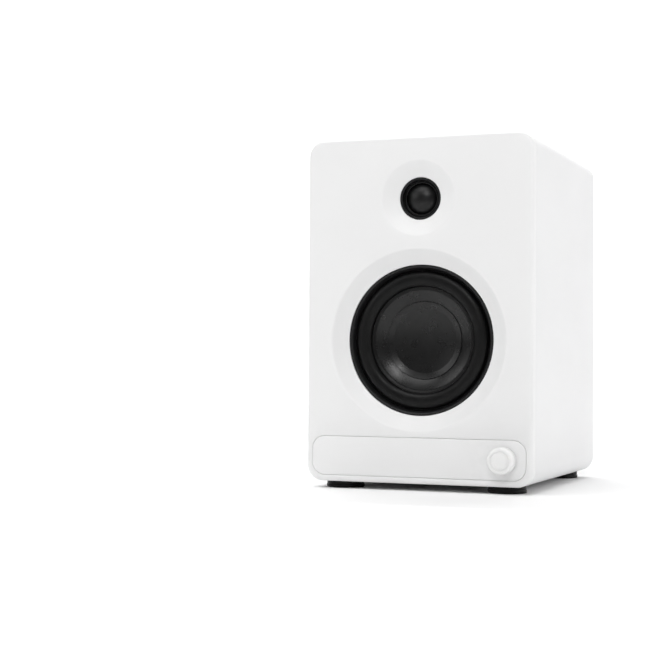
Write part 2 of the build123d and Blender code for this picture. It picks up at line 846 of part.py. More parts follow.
pole_radius = former_inner - woofer_gap
woofer_yoke = turned(
    [
        (0, basket_floor_depth),
        (pole_radius - flange_chamfer, basket_floor_depth),
        (pole_radius, basket_floor_depth + flange_chamfer),
        (pole_radius, magnet_back),
        (plate_radius, magnet_back),
        (plate_radius, magnet_back + yoke_thickness - yoke_chamfer),
        (plate_radius - yoke_chamfer, magnet_back + yoke_thickness),
        (0, magnet_back + yoke_thickness),
    ],
    woofer_z,
    woofer_axis,
)
save(woofer_yoke, "woofer_yoke")

# Terminal strip under the basket, hung from the flange's back, with one tab for each lead.
strip_radius = wall_top + 2 * basket_wall
strip_z = woofer_z - strip_radius - strip_thickness / 2
strip_front = baffle_back + flange_thickness
with BuildPart() as woofer_terminals:
    with BuildSketch(facing(strip_front)):
        with Locations((0, strip_z)):
            Rectangle(strip_width, strip_thickness)
    deepen(strip_front, strip_front + strip_depth)
    with BuildSketch(facing(strip_front + strip_depth)):
        with Locations(*[(side * tab_spacing / 2, strip_z) for side in (-1, 1)]):
            Rectangle(tab_width, tab_thickness)
    deepen(strip_front + strip_depth, strip_front + strip_depth + tab_length)
save(woofer_terminals, "woofer_terminals")

# ---------------------------------------------------------------- tweeter
nose_radius = tweeter_hole_radius - tweeter_nose_gap
nose_front = tweeter_recess_depth - tweeter_nose_proud
dome_outer = dome_radius + dome_wall
tweeter_coil_outer = dome_radius + tweeter_coil_thickness
cup_inner = tweeter_coil_outer + tweeter_gap
cup_outer = cup_inner + cup_wall
surround_seat = tweeter_mouth_radius - tweeter_lip
tweeter_flange_back = baffle_back + tweeter_flange_thickness

with BuildPart() as tweeter_housing:
    with BuildSketch(half_section(tweeter_z)):
        with BuildLine():
            Polyline(
                (tweeter_mouth_radius + tweeter_mouth_chamfer, nose_front),
                (nose_radius, nose_front),
                (nose_radius, baffle_back),
                (tweeter_flange_radius, baffle_back),
                (tweeter_flange_radius, tweeter_flange_back),
                (cup_outer + screw_clearance, tweeter_flange_back),
                (cup_outer + screw_clearance, tweeter_motor_depth),
                (surround_seat, tweeter_motor_depth),
                (surround_seat, dome_base_depth),
                (tweeter_mouth_radius, dome_base_depth),
                (tweeter_mouth_radius, nose_front + tweeter_mouth_chamfer),
                close=True,
            )
        make_face()
    revolve(axis=tweeter_axis)
    with BuildSketch(facing(baffle_back)):
        with Locations(*tweeter_screw_spots):
            Circle(tiny_screw["shank"] + screw_clearance)
    deepen(baffle_back, tweeter_flange_back, mode=Mode.SUBTRACT)
save(tweeter_housing, "tweeter_housing")

tweeter_screws = screws(
    tweeter_screw_spots, tweeter_flange_back, tweeter_flange_thickness + driver_bite, tiny_screw
)

with BuildPart() as tweeter_surround:
    roll_outer = surround_seat + tweeter_roll_gap
    roll_inner = dome_outer + tweeter_roll_gap
    roll_front = dome_base_depth - dome_wall
    with BuildSketch(half_section(tweeter_z)):
        with BuildLine():
            Polyline(
                (roll_inner, dome_base_depth),
                (roll_inner, roll_front),
            )
            ThreePointArc(
                (roll_inner, roll_front),
                ((roll_inner + roll_outer) / 2, roll_front - tweeter_roll[0]),
                (roll_outer, roll_front),
            )
            Polyline(
                (roll_outer, roll_front),
                (tweeter_mouth_radius - screw_clearance, roll_front),
                (tweeter_mouth_radius - screw_clearance, dome_base_depth),
                (roll_outer, dome_base_depth),
            )
            ThreePointArc(
                (roll_outer, dome_base_depth),
                ((roll_inner + roll_outer) / 2, dome_base_depth - tweeter_roll[1]),
                (roll_inner, dome_base_depth),
            )
        make_face()
    revolve(axis=tweeter_axis)
save(tweeter_surround, "tweeter_surround")

with BuildPart() as tweeter_dome:
    with BuildSketch(half_section(tweeter_z)):
        with BuildLine():
            inner_rise = dome_rise - dome_wall
            outer_sphere = (dome_radius**2 + dome_rise**2) / (2 * dome_rise)
            inner_radius = dome_radius - dome_wall
            inner_sphere = (inner_radius**2 + inner_rise**2) / (2 * inner_rise)
            RadiusArc((0, dome_base_depth - dome_rise), (dome_radius, dome_base_depth), -outer_sphere)
            Polyline(
                (dome_radius, dome_base_depth),
                (dome_radius, dome_skirt_end),
                (inner_radius, dome_skirt_end),
                (inner_radius, dome_base_depth),
            )
            RadiusArc((inner_radius, dome_base_depth), (0, dome_base_depth - inner_rise), inner_sphere)
            Line((0, dome_base_depth - inner_rise), (0, dome_base_depth - dome_rise))
        make_face()
    revolve(axis=tweeter_axis)
save(tweeter_dome, "tweeter_dome")

pole_plate_back = tweeter_motor_depth + pole_plate_thickness
tweeter_magnet_back = pole_plate_back + tweeter_magnet_thickness
tweeter_coil = ring(tweeter_motor_depth, pole_plate_back, tweeter_coil_outer, dome_radius, tweeter_z)
save(tweeter_coil, "tweeter_coil")

tweeter_pole_radius = dome_radius - dome_wall - tweeter_gap
tweeter_pole_plate = ring(tweeter_motor_depth, pole_plate_back, tweeter_pole_radius, 0, tweeter_z)
save(tweeter_pole_plate, "tweeter_pole_plate")

tweeter_magnet = ring(
    pole_plate_back, tweeter_magnet_back, tweeter_pole_radius - tweeter_gap, 0, tweeter_z
)
save(tweeter_magnet, "tweeter_magnet")

tweeter_cup = turned(
    [
        (cup_inner, tweeter_motor_depth),
        (cup_outer, tweeter_motor_depth),
        (cup_outer, tweeter_magnet_back + cup_floor),
        (0, tweeter_magnet_back + cup_floor),
        (0, tweeter_magnet_back),
        (cup_inner, tweeter_magnet_back),
    ],
    tweeter_z,
    tweeter_axis,
)
save(tweeter_cup, "tweeter_cup")

tweeter_tab_z = tweeter_z - (cup_outer + tweeter_flange_radius) / 2
with BuildPart() as tweeter_terminals:
    with BuildSketch(facing(tweeter_flange_back)):
        with Locations(*[(side * tweeter_tab_spacing / 2, tweeter_tab_z) for side in (-1, 1)]):
            Rectangle(tab_width, tab_thickness)
    deepen(tweeter_flange_back, tweeter_flange_back + tab_length)
save(tweeter_terminals, "tweeter_terminals")

# ---------------------------------------------------------------- trim panel and volume control
with BuildPart() as trim_panel:
    with BuildSketch(facing(0)):
        with Locations((0, panel_z)):
            RectangleRounded(panel_width, panel_height, panel_corner_radius)
    deepen(0, panel_thickness)
    chamfer(trim_panel.faces().sort_by(Axis.Y)[0].edges(), panel_chamfer)
    with BuildSketch(facing(0)):
        with Locations((knob_x, panel_z)):
            Circle(bushing_radius + bushing_clearance)
    deepen(0, panel_thickness, mode=Mode.SUBTRACT)
save(trim_panel, "trim_panel")

shaft_radius = shaft_diameter / 2
knob_radius = knob_diameter / 2
knob_back = -knob_gap
shaft_front = knob_wall + knob_face_groove - knob_protrusion
shaft_back = encoder_back - encoder_wall - knob_press_travel - shaft_end_gap
rotor_front = encoder_front + encoder_wall + rotor_gaps[0]
rotor_back = encoder_back - encoder_wall - rotor_gaps[1]

with BuildPart() as volume_knob:
    with BuildSketch(facing(-knob_protrusion)):
        with Locations((knob_x, panel_z)):
            Circle(knob_radius)
    deepen(-knob_protrusion, knob_back)
    chamfer(volume_knob.faces().sort_by(Axis.Y)[0].edges(), knob_chamfer)
    # Fine groove round the inset disc of the front face.
    with BuildSketch(facing(-knob_protrusion)):
        with Locations((knob_x, panel_z)):
            Circle(knob_face_diameter / 2)
            Circle(knob_face_diameter / 2 - knob_face_groove, mode=Mode.SUBTRACT)
    extrude(amount=-knob_face_groove, mode=Mode.SUBTRACT)
    # Hollow back with a hub for the shaft.
    with BuildSketch(facing(knob_back)):
        with Locations((knob_x, panel_z)):
            Circle(knob_radius - knob_wall)
            Circle(shaft_radius + knob_wall, mode=Mode.SUBTRACT)
    hollow_depth = knob_protrusion + knob_back - knob_wall - knob_chamfer
    extrude(amount=hollow_depth, mode=Mode.SUBTRACT)
    with BuildSketch(facing(knob_back)):
        with Locations((knob_x, panel_z)):
            Circle(shaft_radius + 2 * knob_wall)
    extrude(amount=hollow_depth - knob_hub_length, mode=Mode.SUBTRACT)
    with BuildSketch(facing(shaft_front)):
        with Locations((knob_x, panel_z)):
            d_shape(shaft_radius + screw_clearance, shaft_flat + screw_clearance)
    deepen(shaft_front, knob_back, mode=Mode.SUBTRACT)
save(volume_knob, "volume_knob")

with BuildPart() as encoder_shaft:
    with BuildSketch(facing(shaft_front)):
        with Locations((knob_x, panel_z)):
            d_shape(shaft_radius, shaft_flat)
    deepen(shaft_front, shaft_back)
    chamfer(encoder_shaft.faces().sort_by(Axis.Y)[0].edges(), fine_chamfer)
save(encoder_shaft, "encoder_shaft")

with BuildPart() as encoder_rotor:
    with BuildSketch(facing(rotor_front)):
        with Locations((knob_x, panel_z)):
            Circle(rotor_radius)
            with BuildSketch(mode=Mode.PRIVATE) as shaft_hole:
                d_shape(shaft_radius + running_clearance, shaft_flat + running_clearance)
            add(shaft_hole.sketch, mode=Mode.SUBTRACT)
    deepen(rotor_front, rotor_back)
save(encoder_rotor, "encoder_rotor")

with BuildPart() as encoder_housing:
    with BuildSketch(facing(encoder_front)):
        with Locations((knob_x, panel_z)):
            Rectangle(encoder_size, encoder_size)
    deepen(encoder_front, encoder_back)
    chamfer(encoder_housing.edges().filter_by(Axis.Y), sheet_chamfer)
    with BuildSketch(facing(encoder_front)):
        with Locations((knob_x, panel_z)):
            Circle(bushing_radius)
    extrude(amount=encoder_front - bushing_front)
    with BuildSketch(facing(encoder_front + encoder_wall)):
        with Locations((knob_x, panel_z)):
            Circle(rotor_radius + rotor_cavity_gap)
    deepen(encoder_front + encoder_wall, encoder_back - encoder_wall, mode=Mode.SUBTRACT)
    with BuildSketch(facing(bushing_front)):
        with Locations((knob_x, panel_z)):
            Circle(shaft_radius + running_clearance)
    deepen(bushing_front, encoder_front + encoder_wall, mode=Mode.SUBTRACT)
save(encoder_housing, "encoder_housing")

with BuildPart() as control_board:
    with BuildSketch(facing(encoder_back)):
        with Locations(((control_board_start + control_board_end) / 2, panel_z)):
            RectangleRounded(control_board_length, control_board_height, 1)
        with Locations(*control_screw_spots):
            Circle(tiny_screw["shank"] + screw_clearance, mode=Mode.SUBTRACT)
    deepen(encoder_back, encoder_back + board_thickness)
save(control_board, "control_board")

control_board_screws = screws(
    control_screw_spots, encoder_back + board_thickness, board_thickness + driver_bite, tiny_screw
)
with BuildPart() as short_screws:
    add(tweeter_screws.part)
    add(control_board_screws.part)
save(short_screws, "short_screws")

# ---------------------------------------------------------------- rear panel's amplifier module
with BuildPart() as amp_plate:
    with BuildSketch(facing(plate_front)):
        with Locations((0, plate_z)):
            RectangleRounded(amp_plate_width, amp_plate_height, amp_plate_corner)
        with Locations(*plate_screw_spots, *spacer_spots):
            Circle(small_screw["shank"] + screw_clearance, mode=Mode.SUBTRACT)
        with Locations(*rca_spots):
            Circle(rca_root_radius + screw_clearance, mode=Mode.SUBTRACT)
        with Locations(aux_spot):
            Circle(aux_nose_radius + screw_clearance, mode=Mode.SUBTRACT)
        for spot, (width, height) in (
            (terminal_spot, terminal_root),
            (switch_spot, switch_body),
            (inlet_spot, inlet_body),
        ):
            with Locations(spot):
                Rectangle(width + 2 * screw_clearance, height + 2 * screw_clearance, mode=Mode.SUBTRACT)
    deepen(plate_front, plate_back)
    chamfer(amp_plate.faces().sort_by(Axis.Y)[-1].outer_wire().edges(), flange_chamfer)
save(amp_plate, "amp_plate")

with BuildPart() as board_spacers:
    with BuildSketch(facing(board_back)):
        with Locations(*spacer_spots):
            RegularPolygon(spacer_radius, 6)
            Circle(small_screw["shank"] + screw_clearance, mode=Mode.SUBTRACT)
    deepen(board_back, plate_front)
save(board_spacers, "board_spacers")

with BuildPart() as amp_board:
    with BuildSketch(facing(board_front)):
        with Locations((0, plate_z)):
            RectangleRounded(amp_board_width, amp_board_height, 2)
        with Locations(*spacer_spots):
            Circle(small_screw["shank"] + screw_clearance, mode=Mode.SUBTRACT)
    deepen(board_front, board_back)
save(amp_board, "amp_board")

plate_screws = screws(
    plate_screw_spots + spacer_spots, plate_back, amp_plate_thickness + wood_bite, small_screw
)
board_screws = screws(
    spacer_spots, board_front, amp_plate_thickness + wood_bite, small_screw, pointing_back=True
)
with BuildPart() as amplifier_screws:
    add(plate_screws.part)
    add(board_screws.part)
save(amplifier_screws, "amplifier_screws")

with BuildPart() as amp_heat_sink:
    with BuildSketch(facing(board_front - sink_base)):
        with Locations(sink_spot):
            Rectangle(sink_size, sink_size)
    deepen(board_front - sink_base, board_front)
    with BuildSketch(facing(board_front - sink_depth)):
        with Locations(sink_spot):
            with GridLocations((sink_size - sink_fin) / (sink_fins - 1), 0, sink_fins, 1):
                Rectangle(sink_fin, sink_size)
    deepen(board_front - sink_depth, board_front - sink_base)
save(amp_heat_sink, "amp_heat_sink")

core_front = board_front - transformer_depth
limb = transformer_width / 4
with BuildPart() as transformer_core:
    with BuildSketch(facing(core_front)):
        with Locations(transformer_spot):
            Rectangle(transformer_width, transformer_height)
    deepen(core_front, board_front)
    with BuildSketch(facing(core_front + limb / 2)):
        with Locations(transformer_spot):
            with GridLocations(transformer_width / 2, 0, 2, 1):
                Rectangle(limb, transformer_height + 2)
    deepen(core_front + limb / 2, board_front - limb / 2, mode=Mode.SUBTRACT)
save(transformer_core, "transformer_core")

with BuildPart() as transformer_winding:
    with BuildSketch(facing(core_front + limb / 2 + winding_gap)):
        with Locations(transformer_spot):
            RectangleRounded(3 * limb - 4 * winding_fit, transformer_height + 2 * limb, limb / 2)
            Rectangle(limb + 2 * winding_fit, transformer_height + 2 * winding_fit, mode=Mode.SUBTRACT)
    deepen(core_front + limb / 2 + winding_gap, board_front - limb / 2 - winding_gap)
save(transformer_winding, "transformer_winding")

with BuildPart() as filter_capacitors:
    with BuildSketch(facing(board_front - capacitor_height)):
        with Locations(*capacitor_spots):
            Circle(capacitor_radius)
    deepen(board_front - capacitor_height, board_front)
    fillet(filter_capacitors.edges().group_by(Axis.Y)[0], capacitor_round)
save(filter_capacitors, "filter_capacitors")

with BuildPart() as board_connectors:
    with BuildSketch(facing(board_front - connector_height)):
        with Locations(*connector_spots):
            Rectangle(connector_width, connector_thickness)
    deepen(board_front - connector_height, board_front)
    with BuildSketch(facing(encoder_back + board_thickness)):
        with Locations(header_spot):
            Rectangle(connector_width, connector_thickness)
    deepen(encoder_back + board_thickness, encoder_back + board_thickness + connector_height)
    chamfer(board_connectors.edges().filter_by(Axis.Y), flange_chamfer)
save(board_connectors, "board_connectors")

# Phono sockets: two plated shells with coloured inserts, in one moulded body behind the plate.
rca_end = plate_back + rca_length
rca_front = plate_front - rca_body_depth
with BuildPart() as rca_body_block:
    with BuildSketch(facing(rca_front)):
        with Locations((socket_column_x, (rca_spots[0][1] + rca_spots[1][1]) / 2)):
            Rectangle(rca_body, rca_body + rca_spacing)
    deepen(rca_front, plate_front)
    with BuildSketch(facing(board_back)):
        with Locations(*rca_spots):
            Rectangle(*solder_tab)
    deepen(board_back, rca_front)
save(rca_body_block, "rca_body")

# The shells' narrower roots pass through the plate, and their full width starts just behind it.
rca_shoulder = plate_back + rca_neck
with BuildPart() as rca_shells:
    for start, end, outer in (
        (plate_front, rca_shoulder, rca_root_radius),
        (rca_shoulder, rca_end, rca_diameter / 2),
    ):
        with BuildSketch(facing(start)):
            with Locations(*rca_spots):
                Circle(outer)
                Circle(rca_diameter / 2 - rca_wall, mode=Mode.SUBTRACT)
        deepen(start, end)
    chamfer(rca_shells.faces().sort_by(Axis.Y)[-1].edges(), fine_chamfer)
save(rca_shells, "rca_shells")

for spot, name in zip(rca_spots, ("rca_insert_white", "rca_insert_red")):
    with BuildPart() as rca_insert:
        with BuildSketch(facing(plate_front)):
            with Locations(spot):
                Circle(rca_diameter / 2 - rca_wall - screw_clearance)
        deepen(plate_front, rca_end - rca_insert_sink)
        with BuildSketch(facing(plate_front + rca_insert_floor)):
            with Locations(spot):
                Circle(rca_pin_bore / 2)
        deepen(plate_front + rca_insert_floor, rca_end, mode=Mode.SUBTRACT)
    save(rca_insert, name)

aux_end = plate_back + aux_nose
with BuildPart() as aux_jack:
    with BuildSketch(facing(aux_end - aux_length - aux_floor)):
        with Locations(aux_spot):
            Rectangle(*aux_body)
    deepen(aux_end - aux_length - aux_floor, plate_front)
    with BuildSketch(facing(plate_front)):
        with Locations(aux_spot):
            Circle(aux_nose_radius)
    deepen(plate_front, aux_end)
    chamfer(aux_jack.faces().sort_by(Axis.Y)[-1].edges(), fine_chamfer)
    with BuildSketch(facing(aux_end - aux_length)):
        with Locations(aux_spot):
            Circle(aux_bore / 2)
    deepen(aux_end - aux_length, aux_end, mode=Mode.SUBTRACT)
save(aux_jack, "aux_jack")

# Spring terminals for the other loudspeaker's bare wires.
terminal_x, terminal_z = terminal_spot
terminal_face = plate_back + terminal_depth
pivot_depth = terminal_face - lever_pivot_sink
pivot_z = terminal_z + lever_pivot_z
lever_xs = [terminal_x + side * lever_spacing / 2 for side in (-1, 1)]
with BuildPart() as terminal_block:
    with BuildSketch(facing(plate_back)):
        with Locations(terminal_spot):
            RectangleRounded(terminal_width, terminal_height, terminal_corner)
    deepen(plate_back, terminal_face)
    fillet(terminal_block.faces().sort_by(Axis.Y)[-1].edges(), terminal_edge_round)
    with BuildSketch(facing(plate_front - terminal_root_depth)):
        with Locations(terminal_spot):
            Rectangle(*terminal_root)
    deepen(plate_front - terminal_root_depth, plate_back)
    with BuildSketch(facing(lever_pocket_floor)):
        with Locations(*[(x, terminal_z + lever_pocket_z) for x in lever_xs]):
            Rectangle(lever_width + 2 * lever_gap, lever_pocket_height)
    deepen(lever_pocket_floor, terminal_face, mode=Mode.SUBTRACT)
    with BuildSketch(side_section(terminal_x)):
        with Locations((pivot_depth, pivot_z)):
            Circle(lever_pin_radius + running_clearance)
    extrude(amount=lever_spacing / 2 + lever_pin_reach + lever_gap, both=True, mode=Mode.SUBTRACT)
    with BuildSketch(facing(plate_front)):
        with Locations(*[(x, terminal_z - wire_hole_drop) for x in lever_xs]):
            Circle(wire_hole_diameter / 2)
    deepen(plate_front, terminal_face, mode=Mode.SUBTRACT)
save(terminal_block, "terminal_block")

for x, name in zip(lever_xs, ("terminal_lever_red", "terminal_lever_black")):
    with BuildPart() as terminal_lever:
        with BuildSketch(side_section(x)):
            with Locations((pivot_depth, pivot_z)):
                Circle(lever_hub_radius)
                with Locations((0, lever_length / 2)):
                    Rectangle(2 * lever_hub_radius, lever_length)
                with Locations((lever_proud - lever_hub_radius, lever_length)):
                    Rectangle(lever_pivot_sink + lever_hub_radius, thumb_height, align=(Align.MIN, Align.MAX))
        extrude(amount=lever_width / 2, both=True)
        thumb_edges = terminal_lever.edges().filter_by(Axis.X).group_by(Axis.Y)[-1]
        fillet(thumb_edges, grip_round)
        with BuildSketch(side_section(x)):
            with Locations((pivot_depth, pivot_z)):
                Circle(lever_pin_radius)
        extrude(amount=lever_pin_reach, both=True)
    save(terminal_lever, name)

# Power switch: a rocker tipped to one side in its frame.
switch_x, switch_z = switch_spot
rocker_pivot_depth = plate_back + rocker_pivot_proud
frame_face = plate_back + switch_flange_thickness
switch_front = plate_front - switch_body_depth
with BuildPart() as switch_housing:
    with BuildSketch(facing(plate_back)):
        with Locations(switch_spot):
            RectangleRounded(*switch_flange, 1)
    deepen(plate_back, frame_face)
    chamfer(switch_housing.faces().sort_by(Axis.Y)[-1].edges(), flange_chamfer)
    with BuildSketch(facing(switch_front)):
        with Locations(switch_spot):
            Rectangle(*switch_body)
    deepen(switch_front, plate_back)
    with BuildSketch(facing(switch_front + switch_floor)):
        with Locations(switch_spot):
            Rectangle(rocker_width + 2 * rocker_gap, rocker_length + 3 * rocker_gap)
    deepen(switch_front + switch_floor, frame_face, mode=Mode.SUBTRACT)
    with BuildSketch(side_section(switch_x)):
        with Locations((rocker_pivot_depth, switch_z)):
            Circle(rocker_pin_radius + running_clearance)
    extrude(amount=rocker_pin_reach + screw_clearance, both=True, mode=Mode.SUBTRACT)
save(switch_housing, "power_switch_housing")

tipped = Plane(
    origin=(switch_x, front_y + rocker_pivot_depth, switch_z),
    x_dir=(0, math.cos(math.radians(rocker_tilt)), math.sin(math.radians(rocker_tilt))),
    z_dir=(1, 0, 0),
)
with BuildPart() as power_rocker:
    half_length = rocker_length / 2
    with BuildSketch(tipped):
        with BuildLine():
            Polyline(
                (rocker_rise, -half_length),
                (rocker_rise - rocker_valley, 0),
                (rocker_rise, half_length),
                (0, half_length),
                (-rocker_root, half_length * rocker_root_share),
                (-rocker_root, -half_length * rocker_root_share),
                (0, -half_length),
                close=True,
            )
        make_face()
    extrude(amount=rocker_width / 2, both=True)
    fillet(power_rocker.edges().filter_by(Axis.X).group_by(Axis.Y)[-1], grip_round)
    with BuildSketch(tipped):
        Circle(rocker_pin_radius)
    extrude(amount=rocker_pin_reach, both=True)
save(power_rocker, "power_rocker")

# Two-pin mains inlet with a figure-of-eight mouth.
inlet_face = plate_back + inlet_flange_thickness
inlet_recess_floor = inlet_face - inlet_recess_depth
inlet_front = inlet_recess_floor - inlet_floor
with BuildPart() as mains_inlet:
    with BuildSketch(facing(plate_back)):
        with Locations(inlet_spot):
            RectangleRounded(*inlet_flange, 2)
    deepen(plate_back, inlet_face)
    chamfer(mains_inlet.faces().sort_by(Axis.Y)[-1].edges(), flange_chamfer)
    with BuildSketch(facing(inlet_front)):
        with Locations(inlet_spot):
            Rectangle(*inlet_body)
    deepen(inlet_front, plate_back)
    with BuildSketch(facing(inlet_recess_floor)):
        with Locations(inlet_spot):
            SlotOverall(*inlet_recess)
    deepen(inlet_recess_floor, inlet_face, mode=Mode.SUBTRACT)
    with BuildSketch(facing(inlet_front)):
        with Locations(*inlet_pin_spots):
            Circle(inlet_pin_diameter / 2 + screw_clearance)
    deepen(inlet_front, inlet_recess_floor, mode=Mode.SUBTRACT)
save(mains_inlet, "mains_inlet")

# The inlet's pins and the switch's tabs, both soldered to the board.
with BuildPart() as mains_contacts:
    with BuildSketch(facing(board_back)):
        with Locations(*inlet_pin_spots):
            Circle(inlet_pin_diameter / 2)
    deepen(board_back, inlet_recess_floor + inlet_pin_length)
    fillet(mains_contacts.edges().group_by(Axis.Y)[-1], inlet_pin_round)
    with BuildSketch(facing(board_back)):
        with Locations(switch_spot):
            with GridLocations(0, switch_tab_spacing, 1, 2):
                Rectangle(*switch_tab)
    deepen(board_back, switch_front)
save(mains_contacts, "mains_contacts")

# ---------------------------------------------------------------- wiring held inside
def run_wire(points, diameter):
    """One insulated wire through (x, depth, z) points: straight runs joined by tangent arcs."""
    corners = [Vector(x, front_y + depth, z) for x, depth, z in points]
    radii = []
    for before, corner, after in zip(corners, corners[1:], corners[2:]):
        run_in = corner - before
        run_out = after - corner
        half_turn = math.radians(run_in.get_angle(run_out)) / 2
        radii.append(0.45 * min(run_in.length, run_out.length) / math.tan(half_turn))
    with BuildLine() as route:
        FilletPolyline(*corners, radius=radii)
    with BuildSketch(Plane(origin=corners[0], z_dir=corners[1] - corners[0])) as section:
        Circle(diameter / 2)
    sweep(sections=section.sketch, path=route.wire())


connector_front = board_front - connector_height
woofer_tab_end = strip_front + strip_depth + tab_length
tweeter_tab_end = tweeter_flange_back + tab_length
header_end = encoder_back + board_thickness + connector_height
with BuildPart() as woofer_leads:
    for side, plug_x in ((-1, -wire_pitch / 2), (1, wire_pitch / 2)):
        run_wire(
            [
                (side * tab_spacing / 2, woofer_tab_end, strip_z),
                (side * tab_spacing / 2, woofer_tab_end + 22, strip_z),
                (connector_spots[1][0] + plug_x + 7, woofer_tab_end + 66, strip_z - 8 + side),
                (connector_spots[1][0] + plug_x, connector_front - 20, connector_spots[1][1]),
                (connector_spots[1][0] + plug_x, connector_front, connector_spots[1][1]),
            ],
            lead_diameter,
        )
save(woofer_leads, "woofer_leads")

with BuildPart() as tweeter_leads:
    for side, plug_x in ((-1, -wire_pitch / 2), (1, wire_pitch / 2)):
        run_wire(
            [
                (side * tweeter_tab_spacing / 2, tweeter_tab_end, tweeter_tab_z),
                (side * tweeter_tab_spacing / 2, tweeter_tab_end + 14, tweeter_tab_z),
                (-33 + 2 * side, tweeter_tab_end + 42, tweeter_tab_z - 22 + 2 * side),
                (-46 + 2 * side, tweeter_tab_end + 54, tweeter_tab_z - 64 + 2 * side),
                (-43 + 2 * side, tweeter_tab_end + 70, tweeter_tab_z - 102 + 2 * side),
                (connector_spots[0][0] + plug_x, connector_front - 26, connector_spots[0][1]),
                (connector_spots[0][0] + plug_x, connector_front, connector_spots[0][1]),
            ],
            lead_diameter,
        )
save(tweeter_leads, "tweeter_leads")

with BuildPart() as encoder_cable:
    run_wire(
        [
            (header_spot[0], header_end, header_spot[1]),
            (header_spot[0], header_end + 24, header_spot[1]),
            (connector_spots[2][0] + 12, header_end + 66, header_spot[1] + 4),
            (connector_spots[2][0], connector_front - 24, connector_spots[2][1]),
            (connector_spots[2][0], connector_front, connector_spots[2][1]),
        ],
        cable_diameter,
    )
save(encoder_cable, "encoder_cable")
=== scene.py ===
import json
import math

import bmesh
import bpy
from mathutils import Matrix, Vector, noise


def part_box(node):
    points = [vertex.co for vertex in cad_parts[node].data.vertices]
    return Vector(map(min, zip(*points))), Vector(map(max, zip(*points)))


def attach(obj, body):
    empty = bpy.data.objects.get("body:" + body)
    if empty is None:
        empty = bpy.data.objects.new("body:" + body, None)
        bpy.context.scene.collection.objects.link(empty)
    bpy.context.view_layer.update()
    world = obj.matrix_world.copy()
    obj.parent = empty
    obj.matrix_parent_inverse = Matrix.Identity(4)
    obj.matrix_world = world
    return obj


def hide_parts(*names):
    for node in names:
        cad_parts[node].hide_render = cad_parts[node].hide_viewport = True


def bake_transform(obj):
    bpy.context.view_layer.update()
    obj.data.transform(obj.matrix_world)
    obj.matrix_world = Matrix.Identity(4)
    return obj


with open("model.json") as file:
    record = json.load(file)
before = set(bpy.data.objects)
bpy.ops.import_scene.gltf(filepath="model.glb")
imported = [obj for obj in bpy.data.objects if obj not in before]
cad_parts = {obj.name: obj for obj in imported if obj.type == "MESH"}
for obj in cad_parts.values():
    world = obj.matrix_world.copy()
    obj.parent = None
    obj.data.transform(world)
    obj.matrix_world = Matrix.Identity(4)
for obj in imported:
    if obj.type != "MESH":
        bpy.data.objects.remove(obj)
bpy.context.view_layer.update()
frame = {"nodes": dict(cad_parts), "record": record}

MM = 0.001

# ---------------------------------------------------------------- places read from the frame
shell_low, shell_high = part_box("cabinet_shell")
baffle_low, baffle_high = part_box("front_baffle")
ring_low, ring_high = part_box("woofer_trim_ring")
dome_low, dome_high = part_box("tweeter_dome")
knob_low, knob_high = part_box("volume_knob")
panel_low, panel_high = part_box("trim_panel")
FRONT = baffle_low.y
WOOFER = Vector((0, FRONT, (ring_low.z + ring_high.z) / 2))
TWEETER = Vector((0, FRONT, (dome_low.z + dome_high.z) / 2))
KNOB = Vector(((knob_low.x + knob_high.x) / 2, FRONT, (knob_low.z + knob_high.z) / 2))
PANEL = Vector((0, FRONT, (panel_low.z + panel_high.z) / 2))
BODY = Vector((0, FRONT, (shell_low.z + shell_high.z) / 2))

# ---------------------------------------------------------------- camera, floor and light
CAMERA_OFFSET = (0.29593, -0.88854, 0.07416)  # from the foot of the front face
CAMERA_FORWARD = (-0.37434, 0.92691, 0.02664)
CAMERA_ROLL = math.radians(0.41)
CAMERA_LENS = 84.62  # millimetres
SENSOR_WIDTH = 36  # millimetres

SKY_STRENGTH = 0.25
FLOOR_SIDE_REACH = 12.0
FLOOR_FRONT_REACH = 8.0
SWEEP_START = 1.6  # behind the object's middle
SWEEP_RADIUS = 0.8
SWEEP_STEPS = 16
WALL_HEIGHT = 3.0
FLOOR_TONE = 0.93
FLOOR_ROUGHNESS = 0.9
FLOOR_SPECULAR = 0.1

# name, place, width, height, power in watts
SOFTBOXES = (
    ("top_softbox", (-0.25, -0.6, 1.45), 1.2, 1.0, 9.8),
    ("key_softbox", (0.4, -1.3, 1.05), 0.34, 0.3, 5.0),
    ("left_softbox", (-1.15, -1.1, 0.75), 0.7, 0.7, 3.1),
    ("right_softbox", (1.4, -0.1, 0.6), 0.8, 1.0, 6.5),
)
BACKDROP_SOFTBOX = ("backdrop_softbox", (-1.1, 1.0, 2.7), 3.4, 0.6, 100)
BACKDROP_AIM = (-1.1, 2.4, 1.3)


def add_camera():
    """Low three-quarter view from the front right, with a long lens."""
    across, ahead, rise = CAMERA_OFFSET
    place = Vector((across, FRONT + ahead, shell_low.z + rise))
    forward = Vector(CAMERA_FORWARD).normalized()
    level = forward.cross(Vector((0, 0, 1))).normalized()
    above = level.cross(forward)
    right = level * math.cos(CAMERA_ROLL) + above * math.sin(CAMERA_ROLL)
    up = above * math.cos(CAMERA_ROLL) - level * math.sin(CAMERA_ROLL)
    data = bpy.data.cameras.new("camera")
    data.sensor_width = SENSOR_WIDTH
    data.lens = CAMERA_LENS
    data.clip_start = 0.01
    data.clip_end = 100
    camera = bpy.data.objects.new("camera", data)
    bpy.context.scene.collection.objects.link(camera)
    turn = Matrix((right, up, -forward)).transposed().to_4x4()
    camera.matrix_world = Matrix.Translation(place) @ turn
    bpy.context.scene.camera = camera


